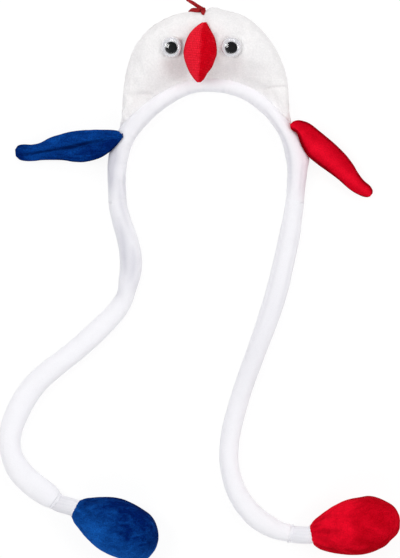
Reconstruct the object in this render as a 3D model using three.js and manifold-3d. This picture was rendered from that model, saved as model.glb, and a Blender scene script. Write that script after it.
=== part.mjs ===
// Rooster headband: a stuffed bird's head sewn on a padded head arch, with two stuffed wings, and two
// hose sleeves that run from the arch's ends to squeeze bulbs.
// It lies on its back on a flat surface, face up. Millimetres, +Z up, +Y towards the crown of the head,
// +X to the right as the face is seen. The origin is on the surface, under the middle of the head.
import * as THREE from "three";
import { mergeVertices } from "three/addons/utils/BufferGeometryUtils.js";
import Module from "manifold-3d";

const wasm = await Module();
wasm.setup();

// Driving dimensions
const GAP = 0.3; // clearance between pieces that are sewn or glued together
const HOSE_SIDES = 12;
const HOSE_STEP = 13; // length of one straight stretch of the hose's tube
const CUFF_DIAMETER = 17.2; // gathered sleeve end between the hose and its bulb
const BULB_LENGTH = 89;
const EYE_DIAMETER = 20;
const PUPIL_DIAMETER = 12;

// Centre of the wearer's head: the stuffed head's sections fan out from it.
const ARCH_CENTRE = new THREE.Vector2(1, -112);

const COLOURS = { white: 0xf1f0f2, red: 0xc8102a, darkRed: 0x9a1a20, blue: 0x0b3a8c, black: 0x141416 };

// The head arch, from its left end round the crown to its right end: centre line, width in the plane of
// the arch (across) and height off the surface (deep).
const ARCH_SECTIONS = [
  { x: -87.7, y: -140, across: 18.2, deep: 20 },
  { x: -88.4, y: -122, across: 18.4, deep: 21 },
  { x: -88, y: -106, across: 19.6, deep: 21 },
  { x: -84.6, y: -88, across: 20, deep: 22 },
  { x: -77, y: -72.5, across: 19, deep: 23 },
  { x: -58.5, y: -52.5, across: 17.4, deep: 24 },
  { x: -35, y: -35, across: 16, deep: 24 },
  { x: -11, y: -25.4, across: 15, deep: 24 },
  { x: 15, y: -24.8, across: 15, deep: 24 },
  { x: 40, y: -31.6, across: 15.4, deep: 24 },
  { x: 62.5, y: -47.5, across: 15.2, deep: 24 },
  { x: 80, y: -70.1, across: 15.6, deep: 23 },
  { x: 90.6, y: -91.4, across: 21.4, deep: 22 },
  { x: 92.3, y: -108, across: 20.4, deep: 21 },
  { x: 91.4, y: -124, across: 18.8, deep: 21 },
  { x: 90.2, y: -140, across: 18.4, deep: 20 },
];
const ARCH_RINGS = 42;
const ARCH_SIDES = 14;
const ARCH_SQUARENESS = 2.3; // 2 is an ellipse
const ARCH_ROOM = 0.4; // clearance between the arch and a wing's root

// The stuffed head by angle about ARCH_CENTRE, 0 along +X: radius of its edge seam (outer), fullest height
// of the face (crown), height of the edge seam, and height where the face dips to meet the arch (crease).
const HEAD_SECTIONS = [
  { angle: 31, outer: 99.6, crown: 14, seam: 8, crease: 11 },
  { angle: 36, outer: 103.4, crown: 21, seam: 10.5, crease: 15 },
  { angle: 43, outer: 113.2, crown: 28, seam: 13, crease: 18 },
  { angle: 50, outer: 125.2, crown: 33, seam: 15, crease: 19.5 },
  { angle: 58, outer: 137.5, crown: 38.5, seam: 17, crease: 20.5 },
  { angle: 67, outer: 150.4, crown: 43, seam: 18, crease: 21 },
  { angle: 76, outer: 159.8, crown: 46, seam: 19, crease: 21 },
  { angle: 83, outer: 162.3, crown: 47, seam: 19, crease: 21 },
  { angle: 88, outer: 164.2, crown: 47.5, seam: 19, crease: 21 },
  { angle: 91, outer: 159.6, crown: 47.5, seam: 19, crease: 21 },
  { angle: 96, outer: 160.8, crown: 47, seam: 19, crease: 21 },
  { angle: 104, outer: 158.6, crown: 46, seam: 19, crease: 21 },
  { angle: 112, outer: 153.3, crown: 43.5, seam: 18, crease: 21 },
  { angle: 120, outer: 143.2, crown: 39.5, seam: 17, crease: 20.5 },
  { angle: 129, outer: 127.2, crown: 34, seam: 15, crease: 19.5 },
  { angle: 139, outer: 110.6, crown: 27, seam: 13, crease: 17.5 },
  { angle: 146, outer: 101.8, crown: 20, seam: 10.5, crease: 14.5 },
  { angle: 152, outer: 96.6, crown: 14, seam: 8, crease: 11 },
];
const HEAD_RINGS = 50;
const HEAD_FULLEST = 0.48; // where the face is highest, from the arch (0) to the edge seam (1)
const HEAD_BACK_FLAT = 0.8; // the back lies flat from the arch to here
const HEAD_BACK_LIFT = 2; // height of the back's lower edge beside the arch
const CENTRE_SEAM_ANGLE = 90.9;

// Seams and creases pressed into the face: where each runs, how deep and how wide it is.
const FACE_FOLDS = [
  { fromX: -2, fromY: 54, toX: -0.5, toY: 34, depth: 3.4, width: 4 },
  { fromX: 56, fromY: -28, toX: 84, toY: -26.4, depth: 1.6, width: 5.5 },
];

// The beak from its upper tip to its lower tip: its two edges and the height of its ridge above the face.
const BEAK_SECTIONS = [
  { y: 35.3, left: -2.6, right: 1.4, ridge: 2 },
  { y: 32.3, left: -7, right: 2.9, ridge: 6 },
  { y: 27.9, left: -11.9, right: 5.2, ridge: 11 },
  { y: 21, left: -17, right: 9, ridge: 16 },
  { y: 13, left: -19.9, right: 11.2, ridge: 19 },
  { y: 5, left: -21.4, right: 11.8, ridge: 20 },
  { y: -1.7, left: -20.4, right: 10, ridge: 19.5 },
  { y: -9.5, left: -17.7, right: 6.8, ridge: 17 },
  { y: -15.2, left: -14.9, right: 2.4, ridge: 14.5 },
  { y: -18.2, left: -12.9, right: 0.7, ridge: 12.5 },
  { y: -21.2, left: -10.7, right: -1.3, ridge: 9.5 },
  { y: -23, left: -8.9, right: -3.2, ridge: 6 },
  { y: -24, left: -7.6, right: -4.4, ridge: 3 },
];
const BEAK_RINGS = 16;
const BEAK_SIDES = 9; // points across the beak's front, and as many across its back
const BEAK_EDGE = 1.6; // thickness of its sewn edge
const BEAK_SEAT_END = 8; // below this Y its back leaves the face and runs on straight

// The domed eyes: place on the face, and how the eye's axis leans from +Z towards +X and towards +Y.
const EYES = [
  { side: "left", x: -33.3, y: 10.5, leanX: -4.5, leanY: -4.5 },
  { side: "right", x: 25.9, y: 10.5, leanX: -4, leanY: -6 },
];
const EYE_BACK_THICKNESS = 1.2;
const EYE_DOME_HEIGHT = 5.2;
const EYE_DOME_WALL = 0.7;
const EYE_DOME_RIM = 1.2; // straight wall under the dome's curve
const EYE_SEAT = 0.9; // how far the eye's back stands off the face at its middle
const PUPIL_THICKNESS = 0.9;
const PUPIL_DROP = 0.8; // the loose pupil lies this far below the middle of its dome
const EYE_SIDES = 20;
const EYE_DOME_STEPS = 5; // from the dome's rim to its top

// The wings: where each one's root and tip lie and how high their middles are, how deep the fold along its
// front is, and its sections from root to tip, as shares of its length: half width on its upper and on its
// lower side, and thickness.
const WINGS = [
  {
    name: "wing_blue", colour: COLOURS.blue, mirrored: false, fold: 3.2,
    root: new THREE.Vector3(-82.8, -78.2, 24), tip: new THREE.Vector3(-190.2, -90.6, 6.4),
    sections: [
      { along: 0, upper: 3.6, lower: 1, thick: 4 },
      { along: 0.02, upper: 6.6, lower: 3, thick: 6.5 },
      { along: 0.05, upper: 8.2, lower: 6.2, thick: 8 },
      { along: 0.12, upper: 9.7, lower: 12, thick: 11.5 },
      { along: 0.22, upper: 11, lower: 17.2, thick: 14 },
      { along: 0.36, upper: 12.2, lower: 19.4, thick: 15 },
      { along: 0.46, upper: 12.2, lower: 18.2, thick: 14.5 },
      { along: 0.57, upper: 10.9, lower: 15.1, thick: 13.5 },
      { along: 0.67, upper: 8.8, lower: 13.5, thick: 12.5 },
      { along: 0.76, upper: 5.2, lower: 12.5, thick: 12 },
      { along: 0.84, upper: 4.4, lower: 12.3, thick: 12 },
      { along: 0.92, upper: 5.6, lower: 11.2, thick: 11.5 },
      { along: 0.97, upper: 5, lower: 9.2, thick: 9.5 },
      { along: 1, upper: 1.6, lower: 5.4, thick: 5 },
    ],
  },
  {
    name: "wing_red", colour: COLOURS.red, mirrored: true, fold: 0,
    root: new THREE.Vector3(86, -65.6, 24), tip: new THREE.Vector3(166.6, -134.8, 6.4),
    sections: [
      { along: 0, upper: 2.6, lower: 1.4, thick: 4 },
      { along: 0.015, upper: 6.2, lower: 3, thick: 6.5 },
      { along: 0.04, upper: 9.2, lower: 3.4, thick: 8.5 },
      { along: 0.09, upper: 12, lower: 2.6, thick: 9.5 },
      { along: 0.16, upper: 13.2, lower: 6, thick: 11.5 },
      { along: 0.23, upper: 13.5, lower: 9.2, thick: 13.5 },
      { along: 0.32, upper: 13.9, lower: 11.7, thick: 15 },
      { along: 0.45, upper: 14, lower: 11.3, thick: 15 },
      { along: 0.57, upper: 13, lower: 10, thick: 14 },
      { along: 0.68, upper: 10.7, lower: 9.4, thick: 13 },
      { along: 0.78, upper: 7.6, lower: 9.5, thick: 12 },
      { along: 0.86, upper: 6, lower: 8.7, thick: 12 },
      { along: 0.94, upper: 6, lower: 6.8, thick: 11 },
      { along: 0.985, upper: 4.4, lower: 4.4, thick: 8 },
      { along: 1, upper: 2.2, lower: 2.2, thick: 4.5 },
    ],
  },
];
const WING_RINGS = 20;
const WING_SIDES = 16;
const WING_FOLD_WIDTH = 0.22; // share of the half width

// A bulb from its neck to its round end, as shares of its length.
const BULB_SECTIONS = [
  { along: 0, radius: 9.8 },
  { along: 0.05, radius: 13.8 },
  { along: 0.11, radius: 16.8 },
  { along: 0.2, radius: 20.8 },
  { along: 0.33, radius: 25.3 },
  { along: 0.45, radius: 27.6 },
  { along: 0.57, radius: 28.1 },
  { along: 0.67, radius: 27.1 },
  { along: 0.78, radius: 25 },
  { along: 0.86, radius: 21.6 },
  { along: 0.93, radius: 16.6 },
  { along: 0.98, radius: 10.6 },
  { along: 1, radius: 5 },
];
const BULB_RINGS = 15;
const BULB_SIDES = 24;

// Gathers at a bulb's neck: turn round its axis, how deep the fold is and how far it reaches along the bulb.
const BULB_GATHERS = [
  { turn: 30, depth: 1.6, reach: 0.3 },
  { turn: 75, depth: 2, reach: 0.42 },
  { turn: 135, depth: 1.6, reach: 0.26 },
  { turn: 200, depth: 1.8, reach: 0.3 },
  { turn: 255, depth: 2, reach: 0.38 },
  { turn: 310, depth: 1.6, reach: 0.28 },
];
const GATHER_WIDTH = 13; // degrees

// The two hose sleeves, each a route on the surface from the arch's end to the bulb's cuff, then where the
// bulb's neck is, which way the bulb points in degrees from +X, how far its middle bulges to its left, and
// the sleeve's diameter.
const HOSES = [
  {
    side: "left", bulb: "bulb_blue", colour: COLOURS.blue,
    route: [
      [-87.5, -140.9], [-86.9, -147], [-85.6, -153], [-82.4, -164.5], [-78.8, -175.5], [-75.9, -188],
      [-74.3, -200], [-74.2, -208], [-75.6, -218], [-78, -229], [-81.4, -239], [-88.6, -251],
      [-98.6, -262], [-110, -273], [-123, -284.8], [-137.2, -296.6], [-151.4, -307.8], [-164.6, -318.8],
      [-174.6, -330], [-183, -343], [-189.6, -357], [-194.4, -371], [-195.8, -382], [-194, -394],
      [-189.2, -405.6], [-181.6, -416], [-170.8, -425.6], [-159.6, -433.8], [-150, -441],
    ],
    neck: [-128.6, -448.6], heading: -25, sway: 1.4, diameter: 22,
  },
  {
    side: "right", bulb: "bulb_red", colour: COLOURS.red,
    route: [
      [90, -140.9], [89.3, -147], [88.4, -153], [86.3, -166], [83.9, -179], [81, -193],
      [77.8, -207.5], [74.2, -223], [69.8, -239], [64.6, -255], [59, -271], [53, -287.5],
      [47, -304], [41.2, -320], [35.8, -336.5], [31, -352.5], [27, -368.5], [24.6, -383],
      [24, -396], [25, -409], [28.2, -423], [33.6, -435.5], [41.2, -447], [50.6, -457.2],
      [61.4, -464.8], [73, -470.6], [85, -473.8],
    ],
    neck: [107.2, -474], heading: 11.6, sway: -0.5, diameter: 20.4,
  },
];
const CUFF_STRAIGHT = 4; // straight stretch at each end of a cuff
const CUFF_STEPS = 5;
const BULB_TILT = 11; // degrees that the bulb's axis climbs towards its round end

// The comb, a narrow felt strip tied at the head's top seam: each tail's line, width and thickness.
const COMB_HEIGHT = 25; // of the knot above the surface
const COMB_TAILS = [
  {
    line: [[-3, 49, 0], [-8, 52.6, 1], [-13, 56.4, 0], [-18.2, 59.2, -2]],
    widths: [4, 4.4, 4.4, 2.2], thick: 2.2,
  },
  {
    line: [[-3, 48.4, 0], [-7.6, 48.8, 2], [-12, 48.8, 1], [-16, 47.4, -1]],
    widths: [3.2, 4.4, 4.6, 1.8], thick: 2.2,
  },
  {
    line: [[-2, 49.6, 0], [-2, 46.4, 4], [-1.8, 43.4, 7], [-1.6, 41.6, 8.4]],
    widths: [5.4, 4.8, 3.4, 2], thick: 2.4,
  },
];
const COMB_KNOT = { x: -2.2, y: 48.8, width: 6, length: 6.6, thick: 5.4 };
const COMB_STEPS = 6; // along each tail
const COMB_SIDES = 8;

const degrees = THREE.MathUtils.degToRad;
const material = (color, roughness = 0.9) =>
  new THREE.MeshStandardMaterial({ color, roughness, metalness: 0 });

// A smooth curve through one column of a table, read at any value of its key column.
function column(table, key, name) {
  const at = table.map((row) => row[key]);
  const value = table.map((row) => row[name]);
  const last = at.length - 1;
  const slope = value.map((_, i) => {
    const a = Math.max(i - 1, 0);
    const b = Math.min(i + 1, last);
    return (value[b] - value[a]) / (at[b] - at[a]);
  });
  return (x) => {
    let i = at.findIndex((start, k) => k < last && x <= at[k + 1]);
    if (i < 0) i = last - 1;
    const span = at[i + 1] - at[i];
    const t = THREE.MathUtils.clamp((x - at[i]) / span, 0, 1);
    const start = (1 + 2 * t) * (1 - t) ** 2 * value[i] + t * (1 - t) ** 2 * span * slope[i];
    const end = t * t * (3 - 2 * t) * value[i + 1] + t * t * (t - 1) * span * slope[i + 1];
    return start + end;
  };
}

// A closed skin over a row of rings with equal point counts, capped at both ends.
function loft(rings) {
  const sides = rings[0].length;
  const middle = (ring) => ring.reduce((sum, p) => sum.add(p), new THREE.Vector3()).divideScalar(sides);
  const points = [...rings.flat(), middle(rings[0]), middle(rings.at(-1))];
  const startCap = points.length - 2;
  const endCap = points.length - 1;
  const lastRing = (rings.length - 1) * sides;
  const faces = [];
  for (let s = 0; s < sides; s++) {
    const next = (s + 1) % sides;
    for (let r = 0; r < rings.length - 1; r++) {
      const here = r * sides;
      const there = here + sides;
      faces.push(here + s, here + next, there + next, here + s, there + next, there + s);
    }
    faces.push(startCap, next, s, endCap, lastRing + s, lastRing + next);
  }
  return new THREE.BufferGeometry().setFromPoints(points).setIndex(faces);
}

function solidOf(geometry) {
  const bare = geometry.clone();
  bare.deleteAttribute("normal");
  bare.deleteAttribute("uv");
  const merged = mergeVertices(bare, 1e-3);
  const triVerts = new Uint32Array(merged.index.array);
  const solid = (corners) =>
    new wasm.Manifold(
      new wasm.Mesh({ numProp: 3, vertProperties: merged.attributes.position.array, triVerts: corners }),
    );
  const made = solid(triVerts);
  return made.volume() > 0 ? made : solid(triVerts.reverse());
}

function geometryOf(solid) {
  const { vertProperties, triVerts } = solid.getMesh();
  return new THREE.BufferGeometry()
    .setAttribute("position", new THREE.BufferAttribute(new Float32Array(vertProperties), 3))
    .setIndex(new THREE.BufferAttribute(new Uint32Array(triVerts), 1));
}

function piece(name, solid, finish) {
  const geometry = geometryOf(solid);
  geometry.computeVertexNormals();
  const mesh = new THREE.Mesh(geometry, finish);
  mesh.name = name;
  return mesh;
}

// Head arch
const archLine = new THREE.CatmullRomCurve3(ARCH_SECTIONS.map(({ x, y }) => new THREE.Vector3(x, y, 0)));
const archTable = ARCH_SECTIONS.map((row, i) => ({ ...row, at: i / (ARCH_SECTIONS.length - 1) }));
const archAcross = column(archTable, "at", "across");
const archDeep = column(archTable, "at", "deep");

function archFrame(at) {
  const centre = archLine.getPoint(at);
  const along = archLine.getTangent(at);
  return { centre, out: new THREE.Vector3(-along.y, along.x, 0).normalize() };
}

function archSolid(extra = 0) {
  const rings = [];
  for (let r = 0; r <= ARCH_RINGS; r++) {
    const at = r / ARCH_RINGS;
    const { centre, out } = archFrame(at);
    const halfAcross = archAcross(at) / 2 + extra;
    const halfDeep = archDeep(at) / 2;
    rings.push(
      Array.from({ length: ARCH_SIDES }, (_, s) => {
        const turn = ((s + 0.5) / ARCH_SIDES) * 2 * Math.PI;
        const round = (v) => Math.sign(v) * Math.abs(v) ** (2 / ARCH_SQUARENESS);
        const lift = halfDeep + round(Math.sin(turn)) * (halfDeep + extra);
        return centre.clone().addScaledVector(out, round(Math.cos(turn)) * halfAcross).setZ(lift);
      }),
    );
  }
  const lowest = Math.min(...rings.flat().map((p) => p.z));
  if (extra === 0) rings.flat().forEach((p) => (p.z -= lowest));
  return solidOf(loft(rings));
}

// Radius of the arch's outer edge from ARCH_CENTRE, by angle in degrees.
const ARCH_EDGE_SAMPLES = 160;
const archEdge = Array.from({ length: ARCH_EDGE_SAMPLES + 1 }, (_, i) => {
  const at = i / ARCH_EDGE_SAMPLES;
  const { centre, out } = archFrame(at);
  const edge = centre.addScaledVector(out, archAcross(at) / 2);
  const dx = edge.x - ARCH_CENTRE.x;
  const dy = edge.y - ARCH_CENTRE.y;
  return { angle: THREE.MathUtils.radToDeg(Math.atan2(dy, dx)), radius: Math.hypot(dx, dy) };
})
  .filter(({ angle }) => angle > 15 && angle < 165)
  .sort((a, b) => a.angle - b.angle);
const archEdgeRadius = column(archEdge, "angle", "radius");

// Stuffed head
const headOuter = column(HEAD_SECTIONS, "angle", "outer");
const headCrown = column(HEAD_SECTIONS, "angle", "crown");
const headSeam = column(HEAD_SECTIONS, "angle", "seam");
const headCrease = column(HEAD_SECTIONS, "angle", "crease");
const HEAD_FIRST = HEAD_SECTIONS[0].angle;
const HEAD_LAST = HEAD_SECTIONS.at(-1).angle;
const HEAD_LEAST_WIDTH = 2.4; // of the sewn ends beside the arch

function headReach(angle) {
  const inner = archEdgeRadius(angle) + GAP;
  return { inner, outer: Math.max(headOuter(angle), inner + HEAD_LEAST_WIDTH) };
}

function foldDepth(x, y) {
  return FACE_FOLDS.reduce((sum, { fromX, fromY, toX, toY, depth, width }) => {
    const long = Math.hypot(toX - fromX, toY - fromY);
    const share = ((x - fromX) * (toX - fromX) + (y - fromY) * (toY - fromY)) / long ** 2;
    const kept = THREE.MathUtils.clamp(share, 0, 1);
    const away = Math.hypot(x - fromX - kept * (toX - fromX), y - fromY - kept * (toY - fromY));
    return sum + depth * Math.exp(-((away / width) ** 2));
  }, 0);
}

function facePoint(angle, share) {
  const { inner, outer } = headReach(angle);
  const radius = inner + (outer - inner) * share;
  const x = ARCH_CENTRE.x + radius * Math.cos(degrees(angle));
  const y = ARCH_CENTRE.y + radius * Math.sin(degrees(angle));
  const crown = headCrown(angle);
  const crease = headCrease(angle);
  const seam = headSeam(angle);
  const climbed = Math.min(share / HEAD_FULLEST, 1);
  const rise = crease + (crown - crease) * Math.sin((Math.PI / 2) * climbed) ** 0.9;
  const past = Math.max((share - HEAD_FULLEST) / (1 - HEAD_FULLEST), 0);
  const fall = seam + (crown - seam) * Math.sqrt(Math.max(1 - past ** 2.5, 0));
  const z = share < HEAD_FULLEST ? rise : fall;
  return new THREE.Vector3(x, y, Math.max(z - foldDepth(x, y) * Math.min(1, 3 * (1 - share)), seam));
}

// Height of the face above the surface at a place on the head.
function faceHeight(x, y) {
  const angle = THREE.MathUtils.radToDeg(Math.atan2(y - ARCH_CENTRE.y, x - ARCH_CENTRE.x));
  const { inner, outer } = headReach(angle);
  const share = (Math.hypot(x - ARCH_CENTRE.x, y - ARCH_CENTRE.y) - inner) / (outer - inner);
  return facePoint(angle, THREE.MathUtils.clamp(share, 0, 1)).z;
}

const FACE_SHARES = [0, 0.05, 0.12, 0.2, 0.3, 0.42, 0.54, 0.66, 0.77, 0.86, 0.925, 0.965, 0.99];
const BACK_SHARES = [1, 0.985, 0.95, 0.9, HEAD_BACK_FLAT, 0.6, 0.4, 0.2, 0.06, 0];

function backPoint(angle, share) {
  const { inner, outer } = headReach(angle);
  const radius = inner + (outer - inner) * share;
  const past = Math.max((share - HEAD_BACK_FLAT) / (1 - HEAD_BACK_FLAT), 0);
  const edge = share === 0 ? HEAD_BACK_LIFT : 0;
  const z = edge + headSeam(angle) * (1 - Math.sqrt(1 - past ** 2));
  return new THREE.Vector3(
    ARCH_CENTRE.x + radius * Math.cos(degrees(angle)),
    ARCH_CENTRE.y + radius * Math.sin(degrees(angle)),
    z,
  );
}

function headSolid() {
  const rings = [];
  for (let r = 0; r <= HEAD_RINGS; r++) {
    const side = (2 * r) / HEAD_RINGS - 1;
    const far = side < 0 ? CENTRE_SEAM_ANGLE - HEAD_FIRST : HEAD_LAST - CENTRE_SEAM_ANGLE;
    const angle = CENTRE_SEAM_ANGLE + Math.sign(side) * Math.abs(side) ** 1.25 * far;
    rings.push([
      ...FACE_SHARES.map((share) => facePoint(angle, share)),
      ...BACK_SHARES.map((share) => backPoint(angle, share)),
    ]);
  }
  return solidOf(loft(rings));
}

// Beak: its back follows the face, then runs on straight over the arch to its free lower tip.
const beakLeft = column(BEAK_SECTIONS.toReversed(), "y", "left");
const beakRight = column(BEAK_SECTIONS.toReversed(), "y", "right");
const beakRidge = column(BEAK_SECTIONS.toReversed(), "y", "ridge");
const beakFree = faceHeight((beakLeft(BEAK_SEAT_END) + beakRight(BEAK_SEAT_END)) / 2, BEAK_SEAT_END);
const BEAK_STOOP = 0.22; // fall of the free tip's back for each millimetre along it

function beakBack(x, y) {
  const free = beakFree - BEAK_STOOP * Math.max(BEAK_SEAT_END - y, 0);
  return (y < BEAK_SEAT_END ? Math.max(faceHeight(x, y), free) : faceHeight(x, y)) + 2 * GAP;
}

function beakSolid() {
  const top = BEAK_SECTIONS[0].y;
  const bottom = BEAK_SECTIONS.at(-1).y;
  const rings = [];
  for (let r = 0; r <= BEAK_RINGS; r++) {
    const y = top + (bottom - top) * (0.5 - 0.5 * Math.cos((Math.PI * r) / BEAK_RINGS));
    const ring = [];
    for (const front of [true, false]) {
      for (let s = 0; s < BEAK_SIDES; s++) {
        const across = (front ? s : BEAK_SIDES - 1 - s) / (BEAK_SIDES - 1);
        const x = beakLeft(y) + (beakRight(y) - beakLeft(y)) * across;
        const ridge = beakRidge(y) * (1 - Math.abs(2 * across - 1) ** 1.5) + BEAK_EDGE;
        ring.push(new THREE.Vector3(x, y, beakBack(x, y) + (front ? ridge : 0)));
      }
    }
    rings.push(ring);
  }
  return solidOf(loft(rings));
}

// Eyes: a white back, a loose black pupil and a clear dome, stacked on the eye's own axis.
function disc(radius, thickness) {
  const corners = [[0, 0], [radius, 0], [radius, thickness], [0, thickness]];
  const profile = corners.map(([r, h]) => new THREE.Vector2(r, h));
  return new THREE.LatheGeometry(profile, EYE_SIDES).rotateX(Math.PI / 2);
}

function domeShell() {
  const outer = EYE_DIAMETER / 2;
  const wall = (radius, height, outside) =>
    Array.from({ length: EYE_DOME_STEPS + 1 }, (_, i) => {
      const turn = (Math.PI / 2) * (outside ? i : EYE_DOME_STEPS - i) / EYE_DOME_STEPS;
      const rim = EYE_DOME_RIM;
      return new THREE.Vector2(radius * Math.cos(turn), rim + (height - rim) * Math.sin(turn));
    });
  const inner = outer - EYE_DOME_WALL;
  const profile = [
    new THREE.Vector2(inner, 0),
    new THREE.Vector2(outer, 0),
    ...wall(outer, EYE_DOME_HEIGHT, true),
    ...wall(inner, EYE_DOME_HEIGHT - EYE_DOME_WALL, false),
    new THREE.Vector2(inner, 0),
  ];
  profile.forEach((p) => p.setX(p.x < 1e-6 ? 0 : p.x));
  return new THREE.LatheGeometry(profile, EYE_SIDES).rotateX(Math.PI / 2);
}

function eye({ side, x, y, leanX, leanY }) {
  const group = new THREE.Group();
  group.position.set(x, y, faceHeight(x, y) + EYE_SEAT);
  group.rotation.set(degrees(-leanY), degrees(leanX), 0);
  const backDisc = solidOf(disc(EYE_DIAMETER / 2, EYE_BACK_THICKNESS));
  const pupilDisc = solidOf(disc(PUPIL_DIAMETER / 2, PUPIL_THICKNESS));
  const back = piece("eye_back_" + side, backDisc, material(COLOURS.white, 0.5));
  const pupil = piece("pupil_" + side, pupilDisc, material(COLOURS.black, 0.4));
  const dome = piece("eye_dome_" + side, solidOf(domeShell()), material(COLOURS.white, 0.05));
  pupil.position.set(0, -PUPIL_DROP, EYE_BACK_THICKNESS + GAP);
  dome.position.set(0, 0, EYE_BACK_THICKNESS + GAP);
  group.add(back, pupil, dome);
  return group;
}

// Wings: lofted round a straight line from root to tip, with a fold along the front, and hollowed
// where the root lies over the arch.
function wingSolid({ mirrored, fold, root, tip, sections }, archRoom) {
  const upper = column(sections, "along", "upper");
  const lower = column(sections, "along", "lower");
  const thick = column(sections, "along", "thick");
  const along = tip.clone().sub(root).setZ(0).normalize();
  const up = new THREE.Vector3(-along.y, along.x, 0).multiplyScalar(mirrored ? 1 : -1);
  const rings = [];
  for (let r = 0; r <= WING_RINGS; r++) {
    const at = 0.5 - 0.5 * Math.cos((Math.PI * r) / WING_RINGS);
    const centre = root.clone().lerp(tip, at);
    const half = thick(at) / 2;
    const lift = Math.max(centre.z, half);
    rings.push(
      Array.from({ length: WING_SIDES }, (_, s) => {
        const turn = (s / WING_SIDES) * 2 * Math.PI;
        const across = Math.cos(turn);
        const side = across > 0 ? upper(at) : lower(at);
        const crease = fold * Math.exp(-((across / WING_FOLD_WIDTH) ** 2)) * Math.sin(Math.PI * at);
        const dent = Math.sin(turn) > 0 ? crease : 0;
        const z = Math.max(lift + half * Math.sin(turn) - dent, 0);
        return centre.clone().addScaledVector(up, across * side).setZ(z);
      }),
    );
  }
  return solidOf(loft(rings)).subtract(archRoom);
}

// Bulbs: a pear-shaped squeeze bulb in a plush cover, gathered at its neck.
function bulbSolid(sway) {
  const radius = column(BULB_SECTIONS, "along", "radius");
  const rings = [];
  for (let r = 0; r <= BULB_RINGS; r++) {
    const at = 0.5 - 0.5 * Math.cos((Math.PI * r) / BULB_RINGS);
    rings.push(
      Array.from({ length: BULB_SIDES }, (_, s) => {
        const turn = (s / BULB_SIDES) * 360;
        const gather = BULB_GATHERS.reduce((sum, row) => {
          const away = Math.abs(((turn - row.turn + 540) % 360) - 180) / GATHER_WIDTH;
          const fade = Math.sin(Math.PI * THREE.MathUtils.clamp(at / row.reach, 0, 1));
          return sum + row.depth * Math.exp(-(away ** 2)) * fade;
        }, 0);
        const out = radius(at) - gather;
        const bulge = sway * Math.sin(Math.PI * at);
        const left = bulge + out * Math.cos(degrees(turn));
        return new THREE.Vector3(at * BULB_LENGTH, left, out * Math.sin(degrees(turn)));
      }),
    );
  }
  return solidOf(loft(rings));
}

// Hoses, cuffs and bulbs
function tubeSolid(points, diameter, steps) {
  const ring = Array.from({ length: HOSE_SIDES }, (_, s) => {
    const turn = (s / HOSE_SIDES) * 2 * Math.PI;
    return new THREE.Vector2(Math.cos(turn), Math.sin(turn)).multiplyScalar(diameter / 2);
  });
  const extrudePath = new THREE.CatmullRomCurve3(points);
  const options = { steps, extrudePath, bevelEnabled: false };
  return solidOf(new THREE.ExtrudeGeometry(new THREE.Shape(ring), options));
}

function hose({ side, bulb, colour, route, neck, heading, sway, diameter }) {
  const group = new THREE.Group();
  const hoseLine = route.map(([x, y]) => new THREE.Vector3(x, y, diameter / 2));
  const hoseCurve = new THREE.CatmullRomCurve3(hoseLine);
  const hoseTube = tubeSolid(hoseLine, diameter, Math.round(hoseCurve.getLength() / HOSE_STEP));
  const hoseEnd = hoseLine.at(-1);
  const hoseWay = hoseCurve.getTangent(1);
  const squeeze = piece(bulb, bulbSolid(sway), material(colour));
  squeeze.rotation.set(0, degrees(-BULB_TILT), degrees(heading), "ZYX");
  squeeze.position.set(...neck, 0);
  squeeze.position.z = -new THREE.Box3().setFromObject(squeeze, true).min.z;
  const bulbWay = new THREE.Vector3(1, 0, 0).applyEuler(squeeze.rotation);
  const cuffLine = [
    hoseEnd.clone().addScaledVector(hoseWay, 2 * GAP),
    hoseEnd.clone().addScaledVector(hoseWay, CUFF_STRAIGHT),
    squeeze.position.clone().addScaledVector(bulbWay, -CUFF_STRAIGHT),
    squeeze.position.clone().addScaledVector(bulbWay, -2 * GAP),
  ];
  group.add(
    piece("hose_" + side, hoseTube, material(COLOURS.white)),
    piece("cuff_" + side, tubeSolid(cuffLine, CUFF_DIAMETER, CUFF_STEPS), material(COLOURS.white)),
    squeeze,
  );
  return group;
}

// Comb
function combSolid(headRoom) {
  const strip = ({ line, widths, thick }) => {
    const points = line.map(([x, y, z]) => new THREE.Vector3(x, y, COMB_HEIGHT + z));
    const path = new THREE.CatmullRomCurve3(points);
    const widthTable = widths.map((value, i) => ({ at: i / (widths.length - 1), value }));
    const width = column(widthTable, "at", "value");
    const rings = [];
    for (let r = 0; r <= COMB_STEPS; r++) {
      const at = r / COMB_STEPS;
      const along = path.getTangent(at);
      const across = new THREE.Vector3(-along.y, along.x, 0).normalize();
      const out = new THREE.Vector3().crossVectors(along, across).negate();
      rings.push(
        Array.from({ length: COMB_SIDES }, (_, s) => {
          const turn = ((s + 0.5) / COMB_SIDES) * 2 * Math.PI;
          return path
            .getPoint(at)
            .addScaledVector(across, (Math.cos(turn) * width(at)) / 2)
            .addScaledVector(out, (Math.sin(turn) * thick) / 2);
        }),
      );
    }
    return solidOf(loft(rings));
  };
  const { x, y, width, length, thick } = COMB_KNOT;
  const ball = new THREE.SphereGeometry(0.5, 10, 6).scale(width, length, thick).translate(x, y, COMB_HEIGHT);
  return COMB_TAILS.reduce((whole, tail) => whole.add(strip(tail)), solidOf(ball)).subtract(headRoom);
}

const arch = archSolid();
const archRoom = archSolid(ARCH_ROOM);
const head = headSolid();
const headRoom = head.add(head.translate([0, GAP, GAP]));
const headband = new THREE.Group();
headband.name = "rooster_headband";
headband.add(
  piece("head", head, material(COLOURS.white)),
  piece("band", arch, material(COLOURS.white)),
  piece("beak", beakSolid(), material(COLOURS.red)),
  piece("comb", combSolid(headRoom), material(COLOURS.darkRed)),
  ...EYES.map(eye),
  ...WINGS.map((wing) => piece(wing.name, wingSolid(wing, archRoom), material(wing.colour))),
  ...HOSES.map(hose),
);

export default headband;
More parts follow.
